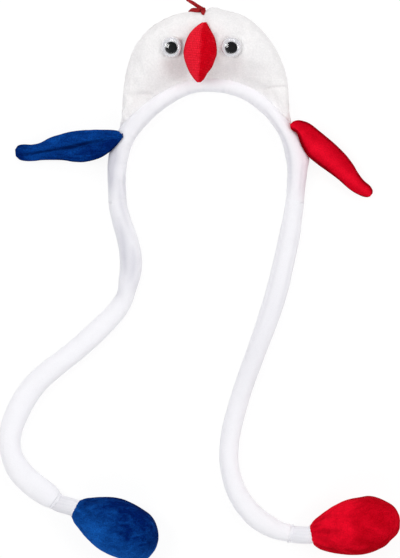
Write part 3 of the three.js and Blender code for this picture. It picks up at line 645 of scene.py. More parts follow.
# Hose sleeves, with the cuff and the squeeze bulb on each
hoses = dict(
    left=dict(
        route=[(-87.5, -140.9), (-86.9, -147), (-85.6, -153), (-82.4, -164.5), (-78.8, -175.5),
               (-75.9, -188), (-74.3, -200), (-74.2, -208), (-75.6, -218), (-78, -229), (-81.4, -239),
               (-88.6, -251), (-98.6, -262), (-110, -273), (-123, -284.8), (-137.2, -296.6),
               (-151.4, -307.8), (-164.6, -318.8), (-174.6, -330), (-183, -343), (-189.6, -357),
               (-194.4, -371), (-195.8, -382), (-194, -394), (-189.2, -405.6), (-181.6, -416),
               (-170.8, -425.6), (-159.6, -433.8), (-150, -441)],
        diameter=22, neck=(-128.6, -448.6), heading=-25, sway=1.4, bulb="bulb_blue", bulbSlot="blue_plush",
        bulbCloth="blueCrushed", seed=3,
        widths=rows("at wide high", (0, 18.3, 20), (14, 18.8, 19), (40, 20.6, 18.4), (62, 22, 18),
                    (80, 21, 18.4), (94, 18.4, 20), (106, 19, 19.5), (134, 21.4, 19), (190, 21.8, 19.5),
                    (238, 23.6, 19.5), (280, 22.4, 20), (300, 21.8, 20), (322, 24, 19.5), (340, 24.6, 19.5),
                    (358, 23.4, 19.5), (372, 21, 19)),
        creases=rows("start end turn drift depth width", (-44, 44, 92, -40, 0.8, 14),
                     (14, 62, 100, 26, 0.7, 20), (46, 84, 70, 8, 0.7, 16), (50, 78, 130, -12, 0.6, 14)),
        kinks=rows("at reach turn spread depth", (86, 7, 20, 62, 0.5), (97, 8, 165, 60, 0.9)),
        greyed=rows("at reach turn spread depth", (36, 30, 130, 55, 0.5), (4, 16, 45, 40, 0.3),
                    (70, 24, 100, 90, 0.42)),  # painted shade on stretches that lie turned from the light
        brushedFrom=84, cuffLay=-0.7, endRound=13,  # painted light: past the first length the fleece is painted lighter, and the cuff darker
        naps=rows("at reach turn spread lay", (0.25, 0.3, 150, 40, 0.2), (0.7, 0.4, 165, 30, 0.26),
                  (0.35, 0.16, 110, 28, 0.16), (0.75, 0.35, 70, 50, -0.2),
                  (0.5, 0.6, 20, 40, -0.26)),  # painted light and shade on the bulb's pile
        # painted shade along the bulb's rims
        rims=rows("at reach turn spread depth", (0.55, 0.5, 0, 16, 0.9), (1, 0.1, 60, 70, 0.5)),
        swells=rows("at reach turn spread swell", (0.82, 0.13, 0, 60, 1.6), (0.97, 0.14, 180, 80, 2)),
    ),
    right=dict(
        route=[(90, -140.9), (89.3, -147), (88.4, -153), (86.3, -166), (83.9, -179), (81, -193),
               (77.8, -207.5), (74.2, -223), (69.8, -239), (64.6, -255), (59, -271), (53, -287.5),
               (47, -304), (41.2, -320), (35.8, -336.5), (31, -352.5), (27, -368.5), (24.6, -383),
               (24, -396), (25, -409), (28.2, -423), (33.6, -435.5), (41.2, -447), (50.6, -457.2),
               (61.4, -464.8), (73, -470.6), (85, -473.8)],
        diameter=20.4, neck=(107.2, -474), heading=11.6, sway=-0.5, bulb="bulb_red", bulbSlot="red_plush",
        bulbCloth="redCrushed", seed=5,
        widths=rows("at wide high", (0, 18.5, 20), (16, 19.6, 19), (44, 21.4, 18), (100, 21.8, 17.6),
                    (122, 20.8, 18), (146, 20, 18), (170, 19.4, 18), (282, 19.2, 18.4), (310, 20.2, 18.6),
                    (336, 21.4, 18.8), (350, 20.6, 18.8), (366, 18, 18)),
        creases=rows("start end turn drift depth width", (0, 120, 52, -4, 0.45, 10),
                     (8, 150, 128, 4, 0.45, 10)),
        kinks=[],
        # painted shade on a stretch that lies turned from the light
        greyed=rows("at reach turn spread depth", (150, 60, 90, 90, 0.2)),
        # painted light: past the first length the fleece is painted lighter, and the cuff lighter
        brushedFrom=220, cuffLay=0.6, endRound=7,
        # painted light and shade on the bulb's pile
        naps=rows("at reach turn spread lay", (0.3, 0.28, 55, 48, 0.28), (0.08, 0.12, 115, 25, 0.16),
                  (0.55, 0.5, 165, 35, -0.2), (0.85, 0.3, 70, 80, -0.16)),
        # painted shade along the bulb's rims
        rims=rows("at reach turn spread depth", (0.75, 0.3, 0, 14, 0.6), (0.6, 0.45, 180, 16, 0.6)),
        swells=rows("at reach turn spread swell", (0.1, 0.17, 180, 50, 2.2), (0.7, 0.08, 0, 40, 1.3),
                    (0.89, 0.07, 0, 40, -0.9), (0.87, 0.06, 180, 40, -1.5)),
    ),
)
sleeve = dict(
    step=2.0, sides=48, squareness=2.15, bandSquareness=2.3, squareFade=15,  # it starts as square as the band
    # foldShade scales the painted shade in the folds; the last two paint the far end of each hose lighter
    overlap=3, taper=0.97, startCalm=12, endCalm=8, foldShade=2.2, brushedLay=0.3, brushedFade=30,
    lumpSize=26, lump=0.5, fineSize=9, fine=0.16,
)
cuff = dict(
    rings=44, sides=72, long=21, size=17.0, straight=4, inHose=0.6, inBulb=1.2,
    # the hems are painted lighter, as painted light, and the folds carry painted shade
    hemSize=18.4, hemWidth=1.5, hemAt=(0.1, 0.875), hemLay=0.6,
    folds=15, foldDepth=0.24, foldWander=2.5, foldShade=0.5,
    stitchGap=2.6, stitchLong=1.7, thread=0.5, threadOut=0.05, threadFloor=0.6,
)
bulb = dict(
    length=89, tilt=11, rings=130, sides=140, sink=0.7,
    sections=rows("along radius", (0, 9.8), (0.05, 13.8), (0.11, 16.8), (0.2, 20.8), (0.33, 25.3),
                  (0.45, 27.6), (0.57, 28.1), (0.67, 27.1), (0.78, 25), (0.86, 21.6), (0.93, 16.6),
                  (0.98, 10.6), (1, 5)),
    seamTurns=(-24, 204), seamDepth=0.9, seamWidth=2.2, seamFrom=0.1, seamShade=0.5,
    gathers=rows("turn depth reach", (8, 1.0, 0.22), (30, 1.6, 0.3), (52, 1.1, 0.2), (75, 2.0, 0.42),
                 (101, 1.2, 0.24), (135, 1.6, 0.3), (160, 1.0, 0.2), (200, 1.8, 0.3), (228, 1.0, 0.22),
                 (255, 2.0, 0.38), (285, 1.1, 0.2), (310, 1.6, 0.28),
                 (338, 1.1, 0.24)),  # reach: how far along the bulb each fold runs
    gatherDrift=40, gatherWide=8.5, gatherShade=4.5,
    lumpSize=24, lump=0.7, fineSize=8, fine=0.25,
)


def dive(ring, way):  # one more ring past a sleeve's end that slips inside the sleeve it meets
    middle = ring.mean(0)
    return (middle + (ring - middle) * sleeve["taper"] + way * sleeve["overlap"])[None]


def makeHose(side, facts):
    path, heading, length = walk(smoothLine([(x, y, 0) for x, y in facts["route"]]), sleeve["step"])
    turn = turns(sleeve["sides"])
    run = length[:, None]
    left = length[-1] - run
    size = curves(facts["widths"], "at")
    wide, high = size["wide"](run) / 2, size["high"](run) / 2
    path[:, 2] = high[:, 0]
    draw = np.clip(left / facts["endRound"], 0, 1)  # the end gathers in to the cuff
    pull = 1 - (1 - np.sqrt(1 - (1 - draw) ** 2)) * (1 - 0.5 * cuff["size"] / wide)
    squarer = (sleeve["bandSquareness"] - sleeve["squareness"]) * np.exp(-run / sleeve["squareFade"])
    outX, outZ = squareRing(turn, sleeve["squareness"] + squarer, wide, high)
    rings = sweep(path, leftOf(heading), upright, outX * pull, outZ * pull)
    folded = creaseDepth(facts["creases"], run, turn) + patches(facts["kinks"], run, turn, "depth")
    calm = np.clip(run / sleeve["startCalm"], 0, 1) * np.clip(left / sleeve["endCalm"], 0, 1)
    soft = stuffed(rings, sleeve, facts["seed"], facts["seed"] + 1)
    rings = pushOut(rings, path, soft * calm - folded)
    # painted shade in the folds and on stretches turned from the light
    paintedFoldShade = folded / sleeve["foldShade"] + patches(facts["greyed"], run, turn, "depth")
    # painted light: the far end of the hose is painted lighter
    brushed = np.clip((run - facts["brushedFrom"]) / sleeve["brushedFade"], 0, 1)
    lay = sleeve["brushedLay"] * brushed + 0 * turn
    rings = np.concatenate([dive(rings[0], -heading[0]), rings])
    paintedFoldShade, lay = (np.concatenate([part[:1], part]) for part in (paintedFoldShade, lay))
    return skin("hoseSleeve_" + side, rings, paintedFoldShade, cutEnds=True, nap=lay), path, length[-1]


def bulbFrame(facts):  # along, left and up of a bulb that lies tilted on the floor
    h, t = math.radians(facts["heading"]), math.radians(bulb["tilt"])
    along = np.array([math.cos(h) * math.cos(t), math.sin(h) * math.cos(t), math.sin(t)])
    left = np.array([-math.sin(h), math.cos(h), 0])
    return along, left, np.cross(along, left)


def makeBulb(facts):
    along, left, up = bulbFrame(facts)
    at = bunched(bulb["rings"])[:, None]
    turn = turns(bulb["sides"])
    radius = smoothColumn(bulb["sections"], "along", "radius")(at)
    gathered = np.zeros((bulb["rings"], bulb["sides"]))
    for row in bulb["gathers"]:
        fade = np.sin(math.pi * np.clip(at / row["reach"], 0.12, 1)) ** 0.8
        off = turnAway(turn, row["turn"] + bulb["gatherDrift"] * at)
        gathered = gathered + row["depth"] * fade * hill(off, bulb["gatherWide"])
    seam = np.zeros_like(gathered)
    for seamTurn in bulb["seamTurns"]:
        off = np.radians(turnAway(turn, seamTurn)) * radius
        seam = seam + hill(off, bulb["seamWidth"]) * np.clip((at - bulb["seamFrom"]) / 0.2, 0, 1)
    out = radius + patches(facts["swells"], at, turn, "swell") - gathered - bulb["seamDepth"] * seam

    def blow(out):  # rings of these radii, with the neck at the origin
        bulge = facts["sway"] * np.sin(math.pi * at)
        ring = along * (at * bulb["length"])[..., None]
        ring = ring + left * (bulge + out * np.cos(np.radians(turn)))[..., None]
        return ring + up * (out * np.sin(np.radians(turn)))[..., None]

    soft = stuffed(blow(out), bulb, facts["seed"], facts["seed"] + 2)
    lowest = blow(radius + 0 * turn)[..., 2].min()
    neck = np.array([*facts["neck"], -lowest - bulb["sink"]])  # it rests on the floor
    rings = restOnFloor(blow(out + soft * np.sin(math.pi * at) ** 0.5) + neck)
    # painted shade in the gathers, in the seam grooves and along the rims
    tint = gathered / bulb["gatherShade"] + bulb["seamShade"] * seam
    tint = tint + patches(facts["rims"], at, turn, "depth")
    cover = skin(facts["bulb"] + "_cover", rings, tint, nap=patches(facts["naps"], at, turn, "lay"))
    return cover, neck + [0, 0, bulb["sink"]], along


def hemRuns(path, across, up):  # where the threads of both hems lie
    runs = []
    count = int(2 * math.pi * cuff["hemSize"] / 2 / cuff["stitchGap"])
    for where in cuff["hemAt"]:
        i = int(round(where * (cuff["rings"] - 1)))
        for k in range(count):
            angles = 2 * math.pi * (k + np.array([0, cuff["stitchLong"] / cuff["stitchGap"]])) / count
            outs = [across[i] * math.cos(a) + up[i] * math.sin(a) for a in angles]
            start, end = (path[i] + out * (cuff["hemSize"] / 2 + cuff["threadOut"]) for out in outs)
            if min(start[2], end[2]) > cuff["threadFloor"]:
                runs.append((start, end, outs[0] + outs[1]))
    return runs


def makeCuff(side, facts, hoseEnd, hoseWay, neck, bulbWay):
    line = smoothLine([hoseEnd - hoseWay * cuff["inHose"], hoseEnd + hoseWay * cuff["straight"],
                       neck - bulbWay * cuff["straight"], neck + bulbWay * cuff["inBulb"]])
    at = np.linspace(0, 1, cuff["rings"])
    path = line(at)
    across = leftOf(headings(path))
    up = np.cross(headings(path), across)
    turn = turns(cuff["sides"], 2 * math.pi)
    hem = sum(hill((at - where) * cuff["long"], cuff["hemWidth"]) for where in cuff["hemAt"])[:, None]
    wander = lumps(np.stack([np.cos(turn) * 3, np.sin(turn) * 3, 0 * turn], -1), 1.0, facts["seed"])
    folds = np.cos(cuff["folds"] * turn + cuff["foldWander"] * wander)
    folds = folds * cuff["foldDepth"] * (0.6 + 0.8 * wander)
    middle = np.sin(math.pi * at)[:, None]
    out = cuff["size"] / 2 + hem * (cuff["hemSize"] - cuff["size"]) / 2
    out = out + folds * (0.35 + 0.65 * middle) * (1 - 0.6 * hem)
    rings = restOnFloor(sweep(path, across, up, out * np.cos(turn), out * np.sin(turn)))
    # painted shade in the cuff's folds
    tint = np.clip(-folds / cuff["foldShade"], 0, 1) * middle * 0.5
    # painted light on the hems, and the rest of each cuff painted lighter or darker
    lay = cuff["hemLay"] * hem + facts["cuffLay"] * (1 - hem) + 0 * turn
    piece = skin("cuffSleeve_" + side, rings, tint, cutEnds=True, nap=lay)
    layThreads(piece, turn * cuff["size"] / 2, walked(path)[:, None])
    return piece, stitches("cuffStitches_" + side, hemRuns(path, across, up), cuff["thread"])


for side, facts in hoses.items():
    hosePiece, path, hoseLength = makeHose(side, facts)
    bulbPiece, neck, bulbWay = makeBulb(facts)
    hoseWay = unit(path[-1] - path[-3]) * [1, 1, 0]
    cuffPiece, threadPiece = makeCuff(side, facts, path[-1], hoseWay, neck, bulbWay)
    dress(hosePiece, clothOf["sleeveFleece"], nodes=["hose_" + side])
    dress(cuffPiece, clothOf["cuffKnit"], nodes=["cuff_" + side])
    dress(threadPiece, clothOf["sleeveFleece"])
    dress(bulbPiece, clothOf[facts["bulbCloth"]], nodes=[facts["bulb"]])
    print("hose", side, "is", round(hoseLength), "mm long")


# Padded band: the arch over the wearer's head and its two legs
band = dict(  # at: share of the arch from its left end; turn: 0 outside, 90 on top, 180 inside
    sections=rows("x y across deep", (-87.7, -140, 18.2, 20), (-88.4, -122, 18.4, 21),
                  (-88, -106, 19.6, 21), (-84.6, -88, 20, 22), (-77, -72.5, 19, 23),
                  (-58.5, -52.5, 17.4, 24), (-35, -35, 16, 24), (-11, -25.4, 15, 24), (15, -24.8, 15, 24),
                  (40, -31.6, 15.4, 24), (62.5, -47.5, 15.2, 24), (80, -70.1, 15.6, 23),
                  (90.6, -91.4, 21.4, 22), (92.3, -108, 20.4, 21), (91.4, -124, 18.8, 21),
                  (90.2, -140, 18.4, 20)),
    squareness=2.3, rings=420, sides=64, lumpSize=24, lump=0.45, fineSize=8, fine=0.15,
    creases=rows("start end turn drift depth width", (-0.1, 0.1, 112, -8, 0.8, 14),
                 (0.012, 0.1, 146, 0, 0.5, 13), (0.64, 0.985, 128, 6, 0.9, 13), (0.2, 0.6, 150, 6, 0.5, 16),
                 (0.8, 0.99, 62, 4, 0.5, 9)),
    # painted shade on stretches of the band, such as the strip under the blue wing
    greyed=rows("at reach turn spread depth", (0.17, 0.05, 54, 40, 1.3), (0.09, 0.06, 50, 38, 1.15),
                (0.07, 0.07, 155, 36, 0.42), (0, 0.05, 135, 40, 0.28), (0, 0.05, 50, 55, 0.12),
                (0.83, 0.13, 150, 34, 0.35), (0.92, 0.08, 35, 40, 0.25), (0.3, 0.07, 90, 60, 0.12)),
    # painted light on the top of the arch
    brushed=rows("at reach turn spread lay", (0.56, 0.2, 90, 75, 0.3), (0.48, 0.1, 90, 80, 0.4)),
    blushed=rows("at reach turn spread depth", (0.81, 0.08, 32, 50, 1.1),
                 (0.93, 0.08, 40, 45, 0.5)),  # painted red light bounced from the wing onto the fleece
    swells=rows("at reach turn spread depth", (0.835, 0.03, 5, 55, 1.8), (0.758, 0.024, 0, 50, 2.8)),
    foldShade=2.4, endCalm=0.03, puckerLong=7.5, pucker=0.3, puckerSpread=55, puckerFrom=0.15,
    puckerShade=0.5,
    puff=dict(rings=150, sides=32, pressure=3, slack=0.015, cap=0.6),
    under=185, outerTo=45, pressed=[(0, 0.02), (0.18, 0.26), (0.7, 0.8), (0.98, 1)],  # what doesn't swell
)
for i, row in enumerate(band["sections"]):
    row["at"] = i / (len(band["sections"]) - 1)
bandLine = smoothLine([(row["x"], row["y"], 0) for row in band["sections"]])
bandAcross = smoothColumn(band["sections"], "at", "across")
bandDeep = smoothColumn(band["sections"], "at", "deep")


def bandFrame(at):
    ahead = bandLine(np.minimum(at + 1e-4, 1)) - bandLine(np.maximum(at - 1e-4, 0))
    return bandLine(at), leftOf(ahead)


def makeBand():
    share = np.linspace(0, 1, band["rings"])
    centre, out = bandFrame(share)
    at = share[:, None]
    turn = turns(band["sides"])
    wide, high = bandAcross(at) / 2, bandDeep(at) / 2
    centre[:, 2] = high[:, 0]
    rings = sweep(centre, out, upright, *squareRing(turn, band["squareness"], wide, high))
    fromEnd = np.minimum(at, 1 - at)
    folded = creaseDepth(band["creases"], at, turn)
    swell = patches(band["swells"], at, turn, "depth")
    inner = hill(turnAway(turn, 180), band["puckerSpread"]) * np.clip(fromEnd / band["puckerFrom"], 0, 1)
    ripple = ripples(walked(centre), band["puckerLong"], 9)[:, None] * inner
    soft = (stuffed(rings, band, 2, 4) + band["pucker"] * ripple) * np.clip(fromEnd / band["endCalm"], 0, 1)
    rings = pushOut(rings, centre, soft + swell - folded)
    held = (turn > band["under"]) | (turn < band["outerTo"])
    for start, end in band["pressed"]:
        held = held | ((at >= start) & (at <= end))
    puffed = puffOut("band", rings, held, band["puff"])
    down = np.array([0, -1.0, 0])
    rings = np.concatenate([dive(rings[0], down), puffed, dive(rings[-1], down)])
    # painted shade in the folds, the puckers and on the greyed stretches
    tint = folded / band["foldShade"] + band["puckerShade"] * np.clip(-ripple, 0, 1)
    tint = tint + patches(band["greyed"], at, turn, "depth")
    # painted light on the top of the arch
    lay = patches(band["brushed"], at, turn, "lay")
    # painted red light bounced from the wing
    blush = patches(band["blushed"], at, turn, "depth")
    tint, lay, blush = (np.concatenate([part[:1], part, part[-1:]]) for part in (tint, lay, blush))
    return skin("bandSleeve", rings, tint, cutEnds=True, nap=lay, blush=blush)


dress(makeBand(), clothOf["sleeveFleece"], nodes=["band"])
print("band ready")


# Stuffed head
head = dict(
    centre=(1, -112),
    sections=rows("angle outer crown seam crease", (29.8, 98.4, 15, 9.5, 15), (31, 99.6, 15.5, 9.5, 15),
                  (36, 103.4, 20, 12.5, 18), (43, 113.2, 26, 14.5, 19.5), (50, 125.2, 32.5, 15.5, 20),
                  (58, 137.5, 38.5, 17, 20.5), (67, 150.4, 43, 18, 21), (76, 159.8, 46, 19, 21),
                  (83, 162.3, 47, 19, 21), (88, 164.2, 47.5, 19, 21), (91, 159.6, 47.5, 19, 21),
                  (96, 160.8, 47, 19, 21), (104, 158.6, 46, 19, 21), (112, 153.3, 43.5, 18, 21),
                  (120, 143.2, 39.5, 17, 20.5), (129, 127.2, 33.5, 15.5, 20),
                  (139, 110.6, 25.5, 14.5, 19.5), (146, 101.8, 19.5, 12.5, 18), (152, 96.6, 15.5, 9.5, 15)),
    rings=320, facePoints=96, backPoints=30, wallPoints=8, fullest=0.48, backFlat=0.8, backLift=2,
    leastWidth=2.4, clear=0.3, shoulderWide=8, shoulderHigh=12, tuck=0.9,  # the sewn edge sinks into the band
    folds=rows("start end depth width", ((-2, 54), (-0.5, 34), 3.4, 4), ((56, -28), (84, -26.4), 1.2, 5)),
    # the last column of the fine folds and of the dents is painted shade along the fold or in the dent
    fineFolds=rows("start end depth width tint", ((-2, 54), (-0.2, 34), 0.9, 0.9, 0.15),
                   ((60, -29), (82, -26.6), 0.8, 0.7, 0.35), ((-78, -36), (-52, -34), 0.6, 2.0, 0.2),
                   ((-58, 30), (-36, 39), 0.5, 2.4, 0.1),
                   ((-22.4, 20), (-25.5, 2), 1.8, 1.9, 0.95)),  # seam and crease lines finer than the solid's
    dents=rows("x y depth width tint", (-32, -7, 2.6, 12, 0.55), (27, -6, 1.6, 13, 0.3),
               (62, -13, 1.2, 14, 0.12)),
    # painted light and shade on the face: the tabs and some edges painted lighter, two middle spots darker
    brushed=rows("x y wide lay", (76, -44, 22, 0.5), (-78, -44, 20, 0.4), (-40, 34, 26, 0.22),
                 (46, 30, 22, 0.1), (75, -8, 18, 0.1), (56, 2, 20, -0.1), (-60, -12, 22, -0.1)),
    edgeMarks=rows("x y wide tint", (-34, 40, 28, 1.6), (6, 50, 9, 0.9),
                   (34, 42, 16, 0.6)),  # where painted shade shows grey along the edge seam
    # sizes of the painted shade at the edge seam and where the tabs meet the band
    rimWide=2.6, rimReach=9, markSize=6, bandShade=0.12, bandShadeWide=5, endCalm=6,
    tabsFrom=(46, 136), tabsFade=8, tipTurn=5, tipHigh=12,
    seamPinch=1.0, seamWidth=1.5, puckerLong=5.2, pucker=0.8, puckerReach=7,
    lumpSize=26, lump=0.7, fineSize=9, fine=0.22,
    puff=dict(rings=90, sides=66, pressure=4, slack=0.02, cap=1.2),
    sewnOn=rows("x y reach", (-33.3, 10.5, 12), (25.9, 10.5, 12), (-4.8, 15, 19), (-5, 0, 18), (-5, 30, 10),
                (-2, 46, 8), (-5, -14, 12)),  # eyes, beak and comb
)
headColumns = curves(head["sections"], "angle")


def bandEdgeTable():  # the band's outer edge as seen from the head's centre
    at = np.linspace(0, 1, 400)
    centre, out = bandFrame(at)
    edge = centre + out * (bandAcross(at) / 2)[:, None]
    dx, dy = edge[:, 0] - head["centre"][0], edge[:, 1] - head["centre"][1]
    angle = np.degrees(np.arctan2(dy, dx))
    order = np.argsort(angle)
    return angle[order], np.hypot(dx, dy)[order]


edgeAngle, edgeRadius = bandEdgeTable()


def fromTips(angle):  # degrees to the nearer tip of the head's tabs
    return np.minimum(angle - head["sections"][0]["angle"], head["sections"][-1]["angle"] - angle)


def headReach(angle):
    inner = np.interp(angle, edgeAngle, edgeRadius) + head["clear"]
    least = head["leastWidth"] * np.clip(fromTips(angle) / 2, 0.2, 1)  # the tabs run out to a tip
    return inner, np.maximum(headColumns["outer"](angle), inner + least)


def onHead(angle, radius, z=None):
    turn = np.radians(angle)
    x, y = head["centre"][0] + radius * np.cos(turn), head["centre"][1] + radius * np.sin(turn)
    return (x, y) if z is None else np.stack([x, y, z], -1)


def faceRise(angle, share):  # height of the face before its fine folds
    inner, outer = headReach(angle)
    x, y = onHead(angle, inner + (outer - inner) * share)
    crown, crease, seam = (headColumns[name](angle) for name in ("crown", "crease", "seam"))
    rise = crease + (crown - crease) * np.sin(math.pi / 2 * np.minimum(share / head["fullest"], 1)) ** 0.9
    past = np.clip((share - head["fullest"]) / (1 - head["fullest"]), 0, 1)
    fall = seam + (crown - seam) * np.sqrt(1 - past**2.5)
    folded = sum(f["depth"] * hill(lineAway(x, y, f)[0], f["width"]) for f in head["folds"])
    z = np.where(share < head["fullest"], rise, fall) - folded * np.minimum(1, 3 * (1 - share))
    return np.maximum(z, seam)


def faceHeight(x, y):
    angle = np.degrees(np.arctan2(y - head["centre"][1], x - head["centre"][0]))
    inner, outer = headReach(angle)
    share = (np.hypot(x - head["centre"][0], y - head["centre"][1]) - inner) / (outer - inner)
    return faceRise(angle, np.clip(share, 0, 1))


def bandRound(q):  # the curve of the band's ring, from 1 at its middle to 0 at its side
    return np.clip(1 - q**band["squareness"], 0, 1) ** (1 / band["squareness"])


def shoulderIn(z):  # how far the band's rounded shoulder falls back at a height
    q = np.clip((z - head["shoulderHigh"]) / head["shoulderHigh"], 0, 0.98)
    return head["shoulderWide"] * (1 - bandRound(q))


def headFace(angle, share, inside):  # the face with its fine folds and dents, and the painted shade along them
    inner, outer = headReach(angle)
    z = faceRise(angle, share)
    snug = (shoulderIn(headColumns["crease"](angle)) + head["tuck"]) * np.clip(1 - share / 0.05, 0, 1)
    x, y = onHead(angle, inner + (outer - inner) * share - snug)
    # painted shade along the fine folds and in the dents
    tint = np.zeros_like(z)
    for row in head["fineFolds"]:
        away, along = lineAway(x, y, row)
        fade = np.clip(1.15 - np.abs(2 * along - 1), 0, 0.5) * 2
        press = hill(away, row["width"]) * fade
        z = z - row["depth"] * press * np.minimum(1, 6 * (1 - share))
        tint = tint + row["tint"] * hill(away, 1.8 * row["width"]) * fade
    for row in head["dents"]:
        press = hill(np.hypot(x - row["x"], y - row["y"]), row["width"])
        z = z - row["depth"] * press * inside
        tint = tint + row["tint"] * press
    return np.stack([x, y, z], -1), tint


def headBack(angle):  # the flat back, and the wall that is sewn to the band
    inner, outer = headReach(angle)
    seam, crease = headColumns["seam"](angle), headColumns["crease"](angle)
    share = (0.5 + 0.5 * np.cos(np.linspace(0, math.pi, head["backPoints"])))[None, 1:]
    past = np.clip((share - head["backFlat"]) / (1 - head["backFlat"]), 0, 1)
    backZ = seam * (1 - np.sqrt(1 - past**2)) + head["backLift"] * np.clip(1 - share / 0.03, 0, 1)
    wall = np.linspace(0, 1, head["wallPoints"] + 2)[None, 1:-1]
    wallZ = head["backLift"] + (crease - head["backLift"]) * wall
    return np.concatenate([onHead(angle, inner + (outer - inner) * share, backZ),
                           onHead(angle, inner - shoulderIn(wallZ) - head["tuck"], wallZ)], 1)


def makeHead():
    tips = head["sections"][0]["angle"], head["sections"][-1]["angle"]
    angle = np.linspace(*tips, head["rings"])[:, None]
    share = bunched(head["facePoints"])[None, :]
    inside = np.minimum(1, 6 * (1 - share)) * np.minimum(1, 8 * share)
    face, paintedFaceShade = headFace(angle, share, inside)
    rings = np.concatenate([face, headBack(angle)], 1)
    unseen = np.zeros((head["rings"], rings.shape[1] - head["facePoints"]))
    tint = np.concatenate([paintedFaceShade, unseen], 1)
    ends = np.clip(fromTips(angle) / head["endCalm"], 0, 1)

    # the edge seam draws in, and the cloth puckers beside it
    inner, outer = headReach(angle)
    edge = onHead(angle, outer, headColumns["seam"](angle))
    fromEdge = np.linalg.norm(rings - edge, axis=-1)
    pucker = ripples(walked(edge[:, 0, :2]), head["puckerLong"], 6)[:, None]
    draw = head["pucker"] * pucker * np.exp(-fromEdge / head["puckerReach"])
    draw = draw - head["seamPinch"] * hill(fromEdge, head["seamWidth"])
    out = np.stack([np.cos(np.radians(angle)), np.sin(np.radians(angle)), 0 * angle], -1)
    rings = rings + out * (draw * ends)[..., None]

    # painted shade in grey blotches at the edge seam, painted shade where the tabs meet the band, and painted
    # light and shade on the pile
    edgeShadeStrength = 0.25 + spots(head["edgeMarks"], edge[..., 0], edge[..., 1], "tint")
    inset = np.hypot(rings[..., 0] - edge[..., 0], rings[..., 1] - edge[..., 1])
    shadeBlotch = np.clip(0.55 + 1.8 * lumps(rings, head["markSize"], 31), 0, 1.5)
    nearEdge = rimBand(inset, head["rimWide"]) * np.clip(1 - fromEdge / head["rimReach"], 0, 1)
    tint = tint + edgeShadeStrength * shadeBlotch * nearEdge
    rightTab, leftTab = head["tabsFrom"]
    tabs = np.clip(np.maximum(rightTab - angle, angle - leftTab) / head["tabsFade"], 0, 1)
    byBand = rimBand((outer - inner) * share, head["bandShadeWide"])
    tint[:, :head["facePoints"]] += head["bandShade"] * tabs * byBand
    # painted light and shade on the face
    lay = spots(head["brushed"], rings[..., 0], rings[..., 1], "lay")

    # lumps of stuffing, and tabs that thin out to a point
    loose = np.concatenate([np.repeat(inside, head["rings"], 0), unseen], 1) * ends
    rings[..., 2] = np.maximum(rings[..., 2] + stuffed(rings, head, 1, 8) * loose, 0)
    tip = 0.25 + 0.75 * np.sqrt(np.clip(fromTips(angle) / head["tipTurn"], 0, 1))
    rings[..., 2] = head["tipHigh"] + (rings[..., 2] - head["tipHigh"]) * tip
    held = loose < 0.2  # seams, the back and what is sewn on don't swell
    for row in head["sewnOn"]:
        held = held | (np.hypot(rings[..., 0] - row["x"], rings[..., 1] - row["y"]) < row["reach"])
    return skin("headPlushShell", puffOut("head", rings, held, head["puff"]), tint, nap=lay)


dress(makeHead(), clothOf["headPlush"], nodes=["head"])
print("head ready")


# Beak: two red panels that meet in a ridge
beak = dict(
    sections=rows("y left right ridge", (-24, -7.6, -4.4, 3), (-23, -8.9, -3.2, 6),
                  (-21.2, -10.7, -1.3, 9.5), (-18.2, -12.9, 0.7, 12.5), (-15.2, -14.9, 2.4, 14.5),
                  (-9.5, -17.7, 6.8, 17), (-1.7, -20.4, 10, 19.5), (5, -21.4, 11.8, 20),
                  (13, -19.9, 11.2, 19), (21, -17, 9, 16), (27.9, -11.9, 5.2, 11), (32.3, -7, 2.9, 6),
                  (35.3, -2.6, 1.4, 2)),
    rings=110, frontPoints=72, backPoints=26, edge=1.6, clear=0.6, seatEnd=8, stoop=0.22,
    # painted shade along the ridge seam and the edges; painted light makes the left panel and the right rim
    # lighter
    ridgeAt=0.5, ridgeRound=1.35, seamDepth=0.15, seamWide=0.7, seamShade=0.1, edgeShade=0.5, edgeWide=0.9,
    lumpSize=11, lump=0.3, leftLay=0.24, ridgeSoft=0.07, rimLay=0.12, rimShare=0.1,
    puff=dict(rings=44, sides=40, pressure=3, slack=0.015, cap=0.6),
)
beakColumns = curves(beak["sections"], "y")


def beakBack(x, y):  # it is sewn on the face down to seatEnd, and stoops free of it below
    end = np.array(beak["seatEnd"])
    middle = (beakColumns["left"](end) + beakColumns["right"](end)) / 2
    free = faceHeight(middle, end) - beak["stoop"] * np.maximum(end - y, 0)
    face = faceHeight(x, y)
    return np.where(y < end, np.maximum(face, free), face) + beak["clear"]


